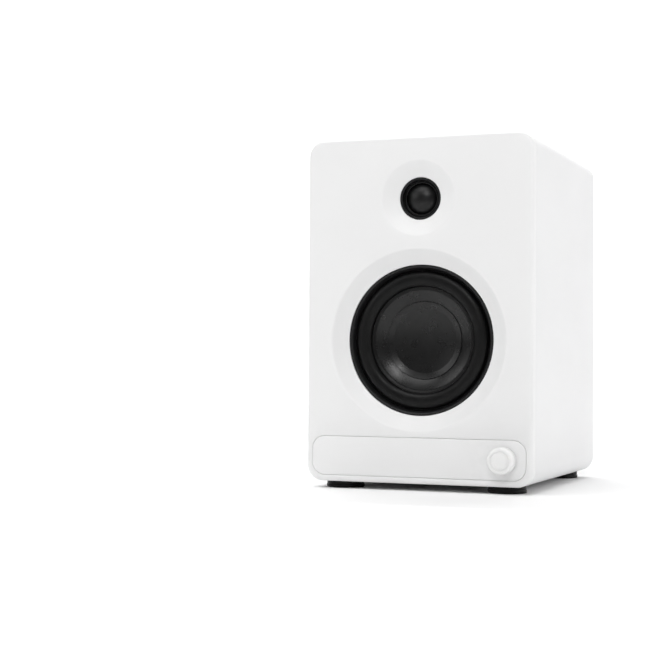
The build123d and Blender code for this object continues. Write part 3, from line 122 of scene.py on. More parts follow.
def add_softbox(name, place, width, height, power, aim):
    """Rectangular soft light turned towards a point."""
    data = bpy.data.lights.new(name, "AREA")
    data.shape = "RECTANGLE"
    data.size = width
    data.size_y = height
    data.energy = power
    lamp = bpy.data.objects.new(name, data)
    bpy.context.scene.collection.objects.link(lamp)
    lamp.location = place
    lamp.rotation_euler = (Vector(aim) - Vector(place)).to_track_quat("-Z", "Y").to_euler()


def add_lights():
    """Even white sky, four softboxes round the speaker and one on the backdrop, in plain tones."""
    bpy.context.scene.view_settings.view_transform = "Standard"
    world = bpy.data.worlds.new("studio_sky")
    bpy.context.scene.world = world
    world.use_nodes = True
    sky = world.node_tree.nodes["Background"]
    sky.inputs["Color"].default_value = (1, 1, 1, 1)
    sky.inputs["Strength"].default_value = SKY_STRENGTH
    for softbox in SOFTBOXES:
        add_softbox(*softbox, aim=(0, 0, BODY.z))
    add_softbox(*BACKDROP_SOFTBOX, aim=BACKDROP_AIM)


def add_floor():
    """Pale floor that sweeps up into a backdrop behind the speaker."""
    outline = [(-FLOOR_FRONT_REACH, 0.0)]
    for i in range(SWEEP_STEPS + 1):
        angle = math.pi / 2 * i / SWEEP_STEPS
        outline.append((SWEEP_START + SWEEP_RADIUS * math.sin(angle), SWEEP_RADIUS * (1 - math.cos(angle))))
    outline.append((SWEEP_START + SWEEP_RADIUS, WALL_HEIGHT))
    points = [(x, y, z) for x in (-FLOOR_SIDE_REACH, FLOOR_SIDE_REACH) for y, z in outline]
    count = len(outline)
    faces = [(i, i + 1, count + i + 1, count + i) for i in range(count - 1)]
    mesh = bpy.data.meshes.new("floor")
    mesh.from_pydata(points, [], faces)
    mesh.polygons.foreach_set("use_smooth", [True] * len(mesh.polygons))
    pale = bpy.data.materials.new("pale_floor")
    pale.use_nodes = True
    shader = pale.node_tree.nodes["Principled BSDF"]
    shader.inputs["Base Color"].default_value = (FLOOR_TONE, FLOOR_TONE, FLOOR_TONE, 1)
    shader.inputs["Roughness"].default_value = FLOOR_ROUGHNESS
    shader.inputs["Specular IOR Level"].default_value = FLOOR_SPECULAR
    mesh.materials.append(pale)
    floor = bpy.data.objects.new("floor", mesh)
    bpy.context.scene.collection.objects.link(floor)


# ---------------------------------------------------------------- materials
MATERIALS = {}  # by slot, filled as each Shader is made
SLOT_OF = {entry["node"]: entry["material_slot"] for entry in frame["record"]["subparts"]}


class Shader:
    """A node material under construction, with short calls for the nodes this scene uses."""

    def __init__(self, name, color, roughness, metallic=0.0, specular=0.5):
        MATERIALS[name] = bpy.data.materials.new(name)
        MATERIALS[name].use_nodes = True
        self.tree = MATERIALS[name].node_tree
        self.bsdf = self.tree.nodes["Principled BSDF"]
        self.bsdf.inputs["Base Color"].default_value = (*color, 1)
        self.bsdf.inputs["Roughness"].default_value = roughness
        self.bsdf.inputs["Metallic"].default_value = metallic
        self.bsdf.inputs["Specular IOR Level"].default_value = specular
        self.place = self.node("ShaderNodeTexCoord").outputs["Object"]
        self.normal = None

    def node(self, kind, **values):
        made = self.tree.nodes.new(kind)
        for name, value in values.items():
            setattr(made, name, value)
        return made

    def link(self, source, target):
        self.tree.links.new(source, target)

    def noise(self, size, detail=3.0, rough=0.5, stretch=(1, 1, 1), place=None):
        """Noise whose blobs are about this size in metres."""
        mapping = self.node("ShaderNodeMapping")
        mapping.inputs["Scale"].default_value = stretch
        self.link(place or self.place, mapping.inputs["Vector"])
        made = self.node("ShaderNodeTexNoise")
        made.inputs["Scale"].default_value = 1 / size
        made.inputs["Detail"].default_value = detail
        made.inputs["Roughness"].default_value = rough
        self.link(mapping.outputs["Vector"], made.inputs["Vector"])
        return made.outputs["Fac"]

    def ramp(self, source, low, high, span=(0.35, 0.65)):
        """Ramp from a low to a high grey or colour, over this span of the source's values."""
        made = self.node("ShaderNodeValToRGB")
        for element, value, at in zip(made.color_ramp.elements, (low, high), span):
            element.position = at
            element.color = (*value, 1) if isinstance(value, tuple) else (value, value, value, 1)
        self.link(source, made.inputs["Fac"])
        return made.outputs["Color"]

    def color(self, source):
        self.link(source, self.bsdf.inputs["Base Color"])

    def roughness(self, source):
        self.link(source, self.bsdf.inputs["Roughness"])

    def bump(self, height, depth, strength):
        """Add relief of this depth in metres, on top of any relief already there."""
        made = self.node("ShaderNodeBump")
        made.inputs["Strength"].default_value = strength
        made.inputs["Distance"].default_value = depth
        self.link(height, made.inputs["Height"])
        if self.normal is not None:
            self.link(self.normal, made.inputs["Normal"])
        self.normal = made.outputs["Normal"]
        self.link(self.normal, self.bsdf.inputs["Normal"])

    def wear(self, base, tone, patch=4 * MM):
        """Colour that turns to a worn tone along outer edges, in patches of about this size."""
        geometry = self.node("ShaderNodeNewGeometry")
        edge = self.ramp(geometry.outputs["Pointiness"], 0.0, 1.0, span=(0.53, 0.6))
        patches = self.ramp(self.noise(patch, detail=4, rough=0.65), 0.0, 1.0, span=(0.4, 0.7))
        mix = self.node("ShaderNodeMix", data_type="RGBA")
        self.link(self.math("MULTIPLY", edge, patches), mix.inputs["Factor"])
        color_a, color_b = [socket for socket in mix.inputs if socket.type == "RGBA"]
        self.link(base, color_a)
        color_b.default_value = (*tone, 1)
        self.color([socket for socket in mix.outputs if socket.type == "RGBA"][0])

    def math(self, operation, first, second=None):
        made = self.node("ShaderNodeMath", operation=operation)
        for socket, value in zip(made.inputs, (first, second)):
            if value is None:
                continue
            if isinstance(value, (int, float)):
                socket.default_value = value
            else:
                self.link(value, socket)
        return made.outputs["Value"]

    def across_and_up(self, center):
        """Distances to the right of center and above it."""
        shift = self.node("ShaderNodeVectorMath", operation="SUBTRACT")
        self.link(self.place, shift.inputs[0])
        shift.inputs[1].default_value = center
        split = self.node("ShaderNodeSeparateXYZ")
        self.link(shift.outputs["Vector"], split.inputs["Vector"])
        return split.outputs["X"], split.outputs["Z"]

    def polar(self, center):
        """(angle, radius) round a front-to-back axis through center."""
        across, up = self.across_and_up(center)
        squares = self.math("ADD", self.math("POWER", across, 2.0), self.math("POWER", up, 2.0))
        return self.math("ARCTAN2", up, across), self.math("SQRT", squares)


def shade(color, change):
    """A slightly lighter or darker version of a colour."""
    return tuple(max(0.0, min(1.0, part * (1 + change))) for part in color)


def worn_tone(color):
    """What rubbed edges turn to: pale finishes darken a little, dark ones go grey."""
    if min(color) > 0.5:
        return shade(color, -0.05)
    return tuple(part * 1.4 + 0.012 for part in color)


def moulded(name, color, roughness, grain=0.4 * MM, relief=0.012 * MM, specular=0.5, mottle=0.02):
    """Moulded plastic or paint: fine spark-eroded grain and faint changes of gloss and tone."""
    look = Shader(name, color, roughness, specular=specular)
    broad = look.noise(50 * MM, detail=2)
    mottled = look.ramp(broad, shade(color, -mottle), shade(color, mottle), span=(0.3, 0.7))
    look.wear(mottled, worn_tone(color))
    smudge = look.noise(18 * MM, detail=4, rough=0.6)
    look.roughness(look.ramp(smudge, roughness - 0.05, roughness + 0.06, span=(0.3, 0.7)))
    look.bump(look.noise(grain, detail=4, rough=0.6), relief, strength=0.6)


def white_wrap():
    """Satin white film over board: a soft orange peel and faint handling marks."""
    color = (0.80, 0.80, 0.805)
    look = Shader("white_wrap", color, 0.42, specular=0.4)
    broad = look.noise(80 * MM, detail=3)
    mottled = look.ramp(broad, shade(color, -0.012), shade(color, 0.012), span=(0.3, 0.7))
    look.wear(mottled, worn_tone(color), patch=8 * MM)
    marks = look.noise(30 * MM, detail=5, rough=0.62, stretch=(1, 0.35, 1))
    look.roughness(look.ramp(marks, 0.36, 0.5, span=(0.35, 0.7)))
    look.bump(look.noise(1.6 * MM, detail=2), 0.01 * MM, strength=0.5)
    look.bump(look.noise(0.45 * MM, detail=3, rough=0.6), 0.012 * MM, strength=0.6)


def rubber(name, color, roughness, center):
    """Moulded rubber: dusty bloom, fine grain and faint turned mould lines round a centre."""
    look = Shader(name, color, roughness, specular=0.2)
    bloom = look.noise(12 * MM, detail=5, rough=0.65)
    look.color(look.ramp(bloom, shade(color, -0.2), shade(color, 0.35), span=(0.35, 0.75)))
    gloss = look.noise(6 * MM, detail=4, rough=0.6)
    look.roughness(look.ramp(gloss, roughness - 0.06, roughness + 0.08, span=(0.3, 0.7)))
    look.bump(look.noise(0.35 * MM, detail=4, rough=0.6), 0.02 * MM, strength=0.7)
    line_pitch = 1.1 * MM
    _, radius = look.polar(center)
    lines = look.math("SINE", look.math("MULTIPLY", radius, 2 * math.pi / line_pitch))
    look.bump(lines, 0.0025 * MM, strength=0.6)


def coated_cone(name, color, center, fibres):
    """Coated paper pulp: speckle, a soft sheen and, on the cone, fibres that run outwards."""
    look = Shader(name, color, 0.3, specular=0.4)
    speckle = look.noise(0.5 * MM, detail=4, rough=0.7)
    if fibres:
        angle, radius = look.polar(center)
        joined = look.node("ShaderNodeCombineXYZ")
        look.link(look.math("MULTIPLY", angle, 0.03), joined.inputs["X"])
        look.link(look.math("MULTIPLY", radius, 0.16), joined.inputs["Y"])
        streaks = look.noise(0.6 * MM, detail=5, rough=0.62, place=joined.outputs["Vector"])
        look.color(look.ramp(streaks, shade(color, -0.22), shade(color, 0.3), span=(0.3, 0.72)))
        look.bump(streaks, 0.03 * MM, strength=0.5)
    else:
        look.color(look.ramp(speckle, shade(color, -0.2), shade(color, 0.3), span=(0.3, 0.72)))
    look.roughness(look.ramp(look.noise(8 * MM, detail=4, rough=0.6), 0.25, 0.33, span=(0.3, 0.7)))
    look.bump(speckle, 0.025 * MM, strength=0.6)


def silk(name, color, center):
    """Sealed woven silk: a fine square weave under a soft damping coat."""
    look = Shader(name, color, 0.32, specular=0.28)
    thread_pitch = 0.32 * MM
    across, up = look.across_and_up(center)
    warp = look.math("SINE", look.math("MULTIPLY", across, 2 * math.pi / thread_pitch))
    weft = look.math("SINE", look.math("MULTIPLY", up, 2 * math.pi / thread_pitch))
    look.bump(look.math("MULTIPLY", warp, weft), 0.012 * MM, strength=0.55)
    cloud = look.noise(4 * MM, detail=4, rough=0.6)
    look.color(look.ramp(cloud, shade(color, -0.2), shade(color, 0.3), span=(0.35, 0.7)))
    look.roughness(look.ramp(look.noise(3 * MM, detail=3), 0.28, 0.38, span=(0.3, 0.7)))
    look.bsdf.inputs["Coat Weight"].default_value = 0.1
    look.bsdf.inputs["Coat Roughness"].default_value = 0.32


def metal(name, color, roughness, brushed=(1, 1, 1)):
    """Bare or plated metal with fine brushing along one direction."""
    look = Shader(name, color, roughness, metallic=1.0)
    streaks = look.noise(0.6 * MM, detail=4, rough=0.6, stretch=brushed)
    tarnish = look.noise(10 * MM, detail=4)
    look.color(look.ramp(tarnish, shade(color, -0.08), shade(color, 0.06), span=(0.3, 0.7)))
    look.roughness(look.ramp(streaks, roughness - 0.08, roughness + 0.12, span=(0.25, 0.75)))
    look.bump(streaks, 0.006 * MM, strength=0.5)


def powder_coat(name, color, roughness):
    """Powder coated or anodised sheet: tight orange peel over a dark colour."""
    look = Shader(name, color, roughness, specular=0.45)
    cloud = look.noise(10 * MM, detail=4, rough=0.6)
    look.color(look.ramp(cloud, shade(color, -0.15), shade(color, 0.25), span=(0.3, 0.7)))
    gloss = look.noise(4 * MM, detail=3)
    look.roughness(look.ramp(gloss, roughness - 0.06, roughness + 0.08, span=(0.3, 0.7)))
    look.bump(look.noise(0.6 * MM, detail=3, rough=0.55), 0.03 * MM, strength=0.6)


def fibrous(name, dark, light, size, relief, roughness=0.9):
    """Board, wadding or varnished cloth: matted fibres of two tones."""
    look = Shader(name, light, roughness, specular=0.25)
    fibres = look.noise(size, detail=6, rough=0.7, stretch=(1, 1.6, 0.8))
    look.color(look.ramp(fibres, dark, light))
    look.bump(fibres, relief, strength=0.8)


def circuit_board():
    """Green laminate with a faint copper track pattern under the solder mask."""
    mask = (0.02, 0.12, 0.055)
    track = (0.035, 0.2, 0.09)
    cells_per_metre = 220
    look = Shader("circuit_board", mask, 0.35)
    cells = look.node("ShaderNodeTexVoronoi", feature="DISTANCE_TO_EDGE")
    cells.inputs["Scale"].default_value = cells_per_metre
    look.link(look.place, cells.inputs["Vector"])
    look.color(look.ramp(cells.outputs["Distance"], track, mask, span=(0.04, 0.07)))
    look.bump(cells.outputs["Distance"], 0.02 * MM, strength=0.3)
    look.roughness(look.ramp(look.noise(4 * MM, detail=3), 0.3, 0.45))


WHITE = (0.825, 0.825, 0.825)
KNOB_WHITE = (0.85, 0.85, 0.845)
BLACK = (0.007, 0.007, 0.0075)
RUBBER_BLACK = (0.002, 0.002, 0.0021)
CONE_BLACK = (0.0018, 0.0018, 0.0019)
CAP_BLACK = (0.0022, 0.0022, 0.0023)
SILK_BLACK = (0.002, 0.002, 0.0021)
IRON = (0.07, 0.07, 0.075)
TAPE_YELLOW = (0.75, 0.55, 0.06)
SLEEVE_BLUE = (0.02, 0.025, 0.06)
FERRITE_GREY = (0.06, 0.06, 0.065)
WIRE_GREY = (0.03, 0.03, 0.034)
BOARD_TONES = ((0.33, 0.22, 0.12), (0.52, 0.38, 0.23))
CLOTH_TONES = ((0.3, 0.2, 0.07), (0.5, 0.36, 0.15))
WADDING_TONES = ((0.5, 0.5, 0.49), (0.8, 0.8, 0.78))


def make_materials():
    """One finish for each material slot of the record."""
    white_wrap()
    moulded("white_moulding", WHITE, 0.4, specular=0.4, mottle=0.008)
    moulded("white_knob", KNOB_WHITE, 0.33, grain=0.3 * MM, relief=0.006 * MM, mottle=0.008)
    fibrous("raw_board", *BOARD_TONES, size=1.2 * MM, relief=0.08 * MM)
    rubber("black_rubber", RUBBER_BLACK, 0.4, WOOFER)
    moulded("black_moulding", BLACK, 0.44, grain=0.6 * MM, relief=0.02 * MM, specular=0.3, mottle=0.15)
    coated_cone("cone_black", CONE_BLACK, WOOFER, fibres=True)
    coated_cone("cap_black", CAP_BLACK, WOOFER, fibres=False)
    silk("silk_dome", SILK_BLACK, TWEETER)
    fibrous("spider_cloth", *CLOTH_TONES, size=0.5 * MM, relief=0.05 * MM, roughness=0.7)
    metal("former_foil", (0.78, 0.78, 0.79), 0.28, brushed=(1, 8, 1))
    metal("copper_wire", (0.78, 0.36, 0.17), 0.32, brushed=(1, 14, 1))
    metal("zinc_steel", (0.6, 0.61, 0.62), 0.36, brushed=(6, 1, 1))
    powder_coat("black_steel", (0.02, 0.02, 0.021), 0.45)
    moulded("ferrite", FERRITE_GREY, 0.62, grain=0.8 * MM, relief=0.04 * MM, mottle=0.2)
    metal("magnet_metal", (0.68, 0.68, 0.7), 0.2)
    metal("screw_black", (0.06, 0.06, 0.065), 0.36)
    powder_coat("plate_black", (0.019, 0.019, 0.02), 0.5)
    circuit_board()
    metal("sink_aluminium", (0.72, 0.73, 0.74), 0.34, brushed=(10, 1, 1))
    moulded("transformer_iron", IRON, 0.55, grain=0.8 * MM, relief=0.03 * MM, mottle=0.2)
    moulded("winding_tape", TAPE_YELLOW, 0.3, grain=2 * MM, relief=0.05 * MM, mottle=0.08)
    moulded("capacitor_sleeve", SLEEVE_BLUE, 0.3, grain=2 * MM, relief=0.01 * MM)
    moulded("connector_white", (0.75, 0.73, 0.66), 0.45)
    metal("brass_contact", (0.83, 0.64, 0.3), 0.25, brushed=(1, 6, 1))
    metal("socket_metal", (0.86, 0.83, 0.76), 0.14, brushed=(1, 8, 1))
    moulded("insert_white", (0.8, 0.8, 0.79), 0.4)
    moulded("insert_red", (0.5, 0.012, 0.014), 0.38)
    moulded("lever_red", (0.48, 0.012, 0.014), 0.36)
    moulded("wire_sleeve", WIRE_GREY, 0.5, grain=0.8 * MM, relief=0.02 * MM)
    metal("steel_shaft", (0.72, 0.72, 0.73), 0.25, brushed=(1, 10, 1))
    fibrous("damping_wadding", *WADDING_TONES, size=2.5 * MM, relief=0.6 * MM, roughness=0.97)


def dress_cad_nodes():
    """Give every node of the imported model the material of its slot."""
    for name, piece in frame["nodes"].items():
        piece.data.materials.clear()
        piece.data.materials.append(MATERIALS[SLOT_OF[name]])


# ---------------------------------------------------------------- mesh helpers
TURN_STEPS = 192  # segments of a large turned piece
SMALL_TURN_STEPS = 96
NEAR_AXIS = 0.0001 * MM  # stands for the axis in a turned outline
WELD = 1e-7
CORNER_STEPS = 20
SIDE_STEPS = 6
HOLE_STEPS = 48
CASE_SHARP = 38  # degrees between two faces, above which their edge shades sharp
TURNED_SHARP = 60
FLEX_SHARP = 50
KNOB_SHARP = 50
FOOT_SHARP = 45
LINING_SHARP = 80


def make_piece(name, mesh, node, sharp):
    """Link a finished mesh as the piece that stands for a CAD node, in that node's material."""
    mesh.materials.append(MATERIALS[SLOT_OF[node]])
    mesh.polygons.foreach_set("use_smooth", [True] * len(mesh.polygons))
    mesh.set_sharp_from_angle(angle=math.radians(sharp))
    piece = bpy.data.objects.new(name, mesh)
    bpy.context.scene.collection.objects.link(piece)
    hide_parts(node)
    return piece


def rigid_piece(name, mesh, node, body, sharp):
    """Piece that rides on one body."""
    piece = make_piece(name, mesh, node, sharp)
    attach(piece, body)
    return piece


def flexing_piece(name, mesh, node):
    """Piece for a part that sits between a moving body inside it and the cabinet outside, not attached to
    either.
    """
    piece = make_piece(name, mesh, node, FLEX_SHARP)
    blend_round_axis(piece)


def blend_round_axis(piece):
    """Set each vertex of a turned piece to its distance from the axis, bake the transform, then put every
    vertex back where it was.
    """
    coords = [Vector(v.co) for v in piece.data.vertices]
    low_corner, high_corner = piece.bound_box[0], piece.bound_box[6]
    center = (Vector(low_corner) + Vector(high_corner)) / 2
    for vert in piece.data.vertices:
        vert.co = (math.hypot(vert.co.x - center.x, vert.co.z - center.z), 0, 0)
    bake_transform(piece)
    for vert, place in zip(piece.data.vertices, coords):
        vert.co = place
    piece.data.update()


def mesh_from(bm, name):
    """Turn a bmesh into mesh data with outward normals."""
    bmesh.ops.remove_doubles(bm, verts=bm.verts, dist=WELD)
    bmesh.ops.recalc_face_normals(bm, faces=bm.faces)
    mesh = bpy.data.meshes.new(name)
    bm.to_mesh(mesh)
    bm.free()
    return mesh


def turned_mesh(name, outline, centers, upright=False, steps=TURN_STEPS):
    """Turn a closed (radius, along) outline about an axis, front to back or upright, at each centre."""
    bm = bmesh.new()
    for center in centers:
        rings = []
        for radius, along in outline:
            ring = []
            for i in range(steps):
                angle = 2 * math.pi * i / steps
                across, other = radius * math.cos(angle), radius * math.sin(angle)
                offset = Vector((across, other, along)) if upright else Vector((across, along, other))
                ring.append(bm.verts.new(Vector(center) + offset))
            rings.append(ring)
        for ring, following in zip(rings, rings[1:] + rings[:1]):
            bridge(bm, ring, following)
    bmesh.ops.dissolve_degenerate(bm, dist=WELD, edges=bm.edges)
    return mesh_from(bm, name)


def edge_points(radius, front, pairs):
    """Outline points from pairs: inset from the radius and set back from the front, in millimetres."""
    return [(radius - inset * MM, front + setback * MM) for inset, setback in pairs]


def quarter_round(radius, steps):
    """(inset, depth) points of a rounded edge, from the face round to the side."""
    points = []
    for i in range(steps + 1):
        angle = math.pi / 2 * i / steps
        points.append((radius * (1 - math.sin(angle)), radius * (1 - math.cos(angle))))
    return points


def bend(start, corner, end, steps):
    """Points of a smooth bend from start to end, drawn towards a corner."""
    points = []
    for i in range(steps + 1):
        t = i / steps
        weights = ((1 - t) ** 2, 2 * t * (1 - t), t**2)
        points.append(tuple(sum(w * p[k] for w, p in zip(weights, (start, corner, end))) for k in (0, 1)))
    return points


def arc_points(start, middle, end, steps):
    """Points on the circle through three (radius, depth) points, from start to end."""
    (ax, ay), (bx, by), (cx, cy) = start, middle, end
    a, b, c = ax**2 + ay**2, bx**2 + by**2, cx**2 + cy**2
    d = 2 * (ax * (by - cy) + bx * (cy - ay) + cx * (ay - by))
    ux = (a * (by - cy) + b * (cy - ay) + c * (ay - by)) / d
    uy = (a * (cx - bx) + b * (ax - cx) + c * (bx - ax)) / d
    radius = math.hypot(ax - ux, ay - uy)
    first = math.atan2(ay - uy, ax - ux)
    last = math.atan2(cy - uy, cx - ux)
    turn = (last - first + math.pi) % (2 * math.pi) - math.pi
    points = []
    for i in range(steps + 1):
        angle = first + turn * i / steps
        points.append((ux + radius * math.cos(angle), uy + radius * math.sin(angle)))
    return points


def rounded_loop(width, height, radius):
    """Points (x, z) round a rounded rectangle, anticlockwise from the lower right corner."""
    right = width / 2 - radius
    top = height / 2 - radius
    centers = ((right, -top), (right, top), (-right, top), (-right, -top))
    loop = []
    for corner, (x, z) in enumerate(centers):
        for i in range(CORNER_STEPS + 1):
            angle = math.pi / 2 * (corner - 1 + i / CORNER_STEPS)
            loop.append(Vector((x + radius * math.cos(angle), z + radius * math.sin(angle))))
        next_x, next_z = centers[(corner + 1) % 4]
        angle = math.pi / 2 * corner
        leave = loop[-1]
        arrive = Vector((next_x + radius * math.cos(angle), next_z + radius * math.sin(angle)))
        for i in range(1, SIDE_STEPS):
            loop.append(leave.lerp(arrive, i / SIDE_STEPS))
    return loop


def circle_loop(radius, steps=HOLE_STEPS):
    """Points (x, z) round a circle."""
    angles = [2 * math.pi * i / steps for i in range(steps)]
    return [Vector((radius * math.cos(angle), radius * math.sin(angle))) for angle in angles]


def place_loop(bm, loop, center, depth):
    """Vertices of a loop, centred on (x, z) and this far behind the front plane."""
    return [bm.verts.new((center.x + p.x, center.y + depth, center.z + p.y)) for p in loop]


def bridge(bm, first, second):
    """Quads between two loops with the same number of vertices."""
    for i in range(len(first)):
        j = (i + 1) % len(first)
        bm.faces.new((first[i], first[j], second[j], second[i]))


def bridge_all(bm, loops):
    """Quads between each loop and the next."""
    for first, second in zip(loops, loops[1:]):
        bridge(bm, first, second)


def fill_flat(bm, loops):
    """Triangulate the flat region between an outer loop and the loops inside it."""
    edges = []
    for loop in loops:
        for i, vert in enumerate(loop):
            other = loop[(i + 1) % len(loop)]
            edges.append(bm.edges.get((vert, other)) or bm.edges.new((vert, other)))
    bmesh.ops.triangle_fill(bm, use_beauty=True, use_dissolve=False, edges=edges, normal=(0, -1, 0))


# ---------------------------------------------------------------- front baffle
BODY_CORNER = 10.0 * MM
EDGE_ROUND = 2.0 * MM
EDGE_STEPS = 6
SEAM = 0.4 * MM
RIM_DEPTH = shell_low.y - FRONT
PLUG_INSET = 9.2 * MM
PLUG_CORNER = 3.0 * MM
PLUG_BACK = baffle_high.y - FRONT
PANEL_CORNER = 8.0 * MM
POCKET_GAP = 0.12 * MM
POCKET_CHAMFER = 0.5 * MM
POCKET_DEPTH = 3.0 * MM
KNOB_WELL_RADIUS = 4.0 * MM
WOOFER_MOUTH = 56.5 * MM
WOOFER_HOLE = 47.0 * MM
WOOFER_MOUTH_DEPTH = 6.3 * MM
TWEETER_MOUTH = 23.5 * MM
TWEETER_HOLE = 13.3 * MM
TWEETER_MOUTH_DEPTH = 5.0 * MM
DISH_BOW = 0.12  # of the mouth's depth, by which the slope's middle lies further in and back
DISH_STEPS = 14
LIP_ROUND = 0.7 * MM
LIP_STEPS = 5


def dish_profile(mouth, hole, depth):
    """(radius, depth) points from the face, over a soft edge and down the bowed slope to the hole."""
    bow = 2 * DISH_BOW * depth
    pull = ((mouth + hole) / 2 - bow, depth / 2 + bow)
    slope = bend((mouth, 0.0), pull, (hole, depth), DISH_STEPS)
    lip = bend((mouth + LIP_ROUND, 0.0), (mouth, 0.0), slope[1], LIP_STEPS)
    return lip + slope[2:]


def front_baffle():
    """Painted baffle: a flat face, two dished mouths, a rounded edge and the trim panel's pocket."""
    bm = bmesh.new()
    width = baffle_high.x - baffle_low.x
    height = baffle_high.z - baffle_low.z
    middle = Vector((0, FRONT, (baffle_low.z + baffle_high.z) / 2))
    rim = quarter_round(EDGE_ROUND, EDGE_STEPS) + [(0, RIM_DEPTH - SEAM), (SEAM, RIM_DEPTH)]
    sides = [(inset, depth, BODY_CORNER - inset) for inset, depth in rim]
    sides += [(PLUG_INSET, RIM_DEPTH, PLUG_CORNER), (PLUG_INSET, PLUG_BACK, PLUG_CORNER)]
    loops = []
    for inset, depth, corner in sides:
        loop = rounded_loop(width - 2 * inset, height - 2 * inset, corner)
        loops.append(place_loop(bm, loop, middle, depth))
    bridge_all(bm, loops)

    face_loops = [loops[0]]
    back_loops = [loops[-1]]
    for center, mouth, hole, depth in (
        (WOOFER, WOOFER_MOUTH, WOOFER_HOLE, WOOFER_MOUTH_DEPTH),
        (TWEETER, TWEETER_MOUTH, TWEETER_HOLE, TWEETER_MOUTH_DEPTH),
    ):
        rings = []
        for radius, along in dish_profile(mouth, hole, depth) + [(hole, PLUG_BACK)]:
            rings.append(place_loop(bm, circle_loop(radius, TURN_STEPS), center, along))
        bridge_all(bm, rings)
        face_loops.append(rings[0])
        back_loops.append(rings[-1])

    pocket = []
    for gap, depth in (
        (POCKET_GAP + POCKET_CHAMFER, 0.0),
        (POCKET_GAP + 0.3 * POCKET_CHAMFER, 0.4 * POCKET_CHAMFER),
        (POCKET_GAP, POCKET_CHAMFER),
        (POCKET_GAP, POCKET_DEPTH),
    ):
        panel_width = panel_high.x - panel_low.x + 2 * gap
        panel_height = panel_high.z - panel_low.z + 2 * gap
        loop = rounded_loop(panel_width, panel_height, PANEL_CORNER + gap)
        pocket.append(place_loop(bm, loop, PANEL, depth))
    bridge_all(bm, pocket)
    fill_flat(bm, face_loops + [pocket[0]])
    well = circle_loop(KNOB_WELL_RADIUS)
    knob_well = [place_loop(bm, well, KNOB, depth) for depth in (POCKET_DEPTH, PLUG_BACK)]
    bridge_all(bm, knob_well)
    fill_flat(bm, [pocket[-1], knob_well[0]])
    fill_flat(bm, back_loops + [knob_well[1]])
    rigid_piece("baffle_face", mesh_from(bm, "baffle_face"), "front_baffle", "cabinet", CASE_SHARP)


# ---------------------------------------------------------------- cabinet wrap
REAR_ROUND = 1.5 * MM
WALL = 9.0 * MM
INNER_CORNER = 3.0 * MM
WRAP_SPANS = 14


def cabinet_wrap():
    """Film-wrapped carcass: rounded long edges, a softened back edge and a thin seam to the baffle."""
    bm = bmesh.new()
    width = shell_high.x - shell_low.x
    height = shell_high.z - shell_low.z
    start = shell_low.y - FRONT
    end = shell_high.y - FRONT
    outside = [(SEAM, start), (0, start + SEAM)]
    for i in range(1, WRAP_SPANS):
        outside.append((0, start + SEAM + (end - start - SEAM - REAR_ROUND) * i / WRAP_SPANS))
    outside += [(setback, end - inset) for inset, setback in quarter_round(REAR_ROUND, EDGE_STEPS)]
    sections = [(WALL, start, INNER_CORNER)]
    sections += [(inset, depth, BODY_CORNER - inset) for inset, depth in outside]
    sections.append((WALL, end, INNER_CORNER))
    loops = []
    for inset, depth, corner in sections:
        loop = rounded_loop(width - 2 * inset, height - 2 * inset, corner)
        loops.append(place_loop(bm, loop, BODY, depth))
    bridge_all(bm, loops + loops[:1])
    rigid_piece("cabinet_wrap", mesh_from(bm, "cabinet_wrap"), "cabinet_shell", "cabinet", CASE_SHARP)


# ---------------------------------------------------------------- trim panel and knob
PANEL_EDGE = 0.5 * MM
PANEL_EDGE_STEPS = 4
SHAFT_HOLE_RADIUS = 3.9 * MM
KNOB_FACE_RADIUS = 5.8 * MM
KNOB_FACE_MIDDLE = 0.05 * MM
KNOB_FACE_CROWN = ((2.32, 0.06),)
KNOB_FACE_EDGE = ((0.47, 0.08), (0.35, 0.2), (0.35, 0.35), (0, 0.35), (0, 0.12), (-0.14, 0))
KNOB_RIM = ((1.15, 0), (0.62, 0.22), (0.22, 0.64), (0, 1.25))
KNOB_BACK_CHAMFER = 0.25 * MM
KNOB_WALL = 1.6 * MM
KNOB_HOLLOW = 2.8 * MM
KNOB_BORE_RADIUS = 3.2 * MM
KNOB_BORE_FLOOR = 2.2 * MM


def trim_panel():
    """Flush trim panel with softened edges and the hole that the knob's shaft passes through."""
    bm = bmesh.new()
    width = panel_high.x - panel_low.x
    height = panel_high.z - panel_low.z
    back = panel_high.y - FRONT
    loops = []
    for inset, depth in quarter_round(PANEL_EDGE, PANEL_EDGE_STEPS) + [(0, back)]:
        loop = rounded_loop(width - 2 * inset, height - 2 * inset, PANEL_CORNER - inset)
        loops.append(place_loop(bm, loop, PANEL, depth))
    bridge_all(bm, loops)
    hole = [place_loop(bm, circle_loop(SHAFT_HOLE_RADIUS), KNOB, depth) for depth in (0, back)]
    bridge_all(bm, hole)
    fill_flat(bm, [loops[0], hole[0]])
    fill_flat(bm, [loops[-1], hole[1]])
    rigid_piece("trim_face", mesh_from(bm, "trim_face"), "trim_panel", "cabinet", CASE_SHARP)


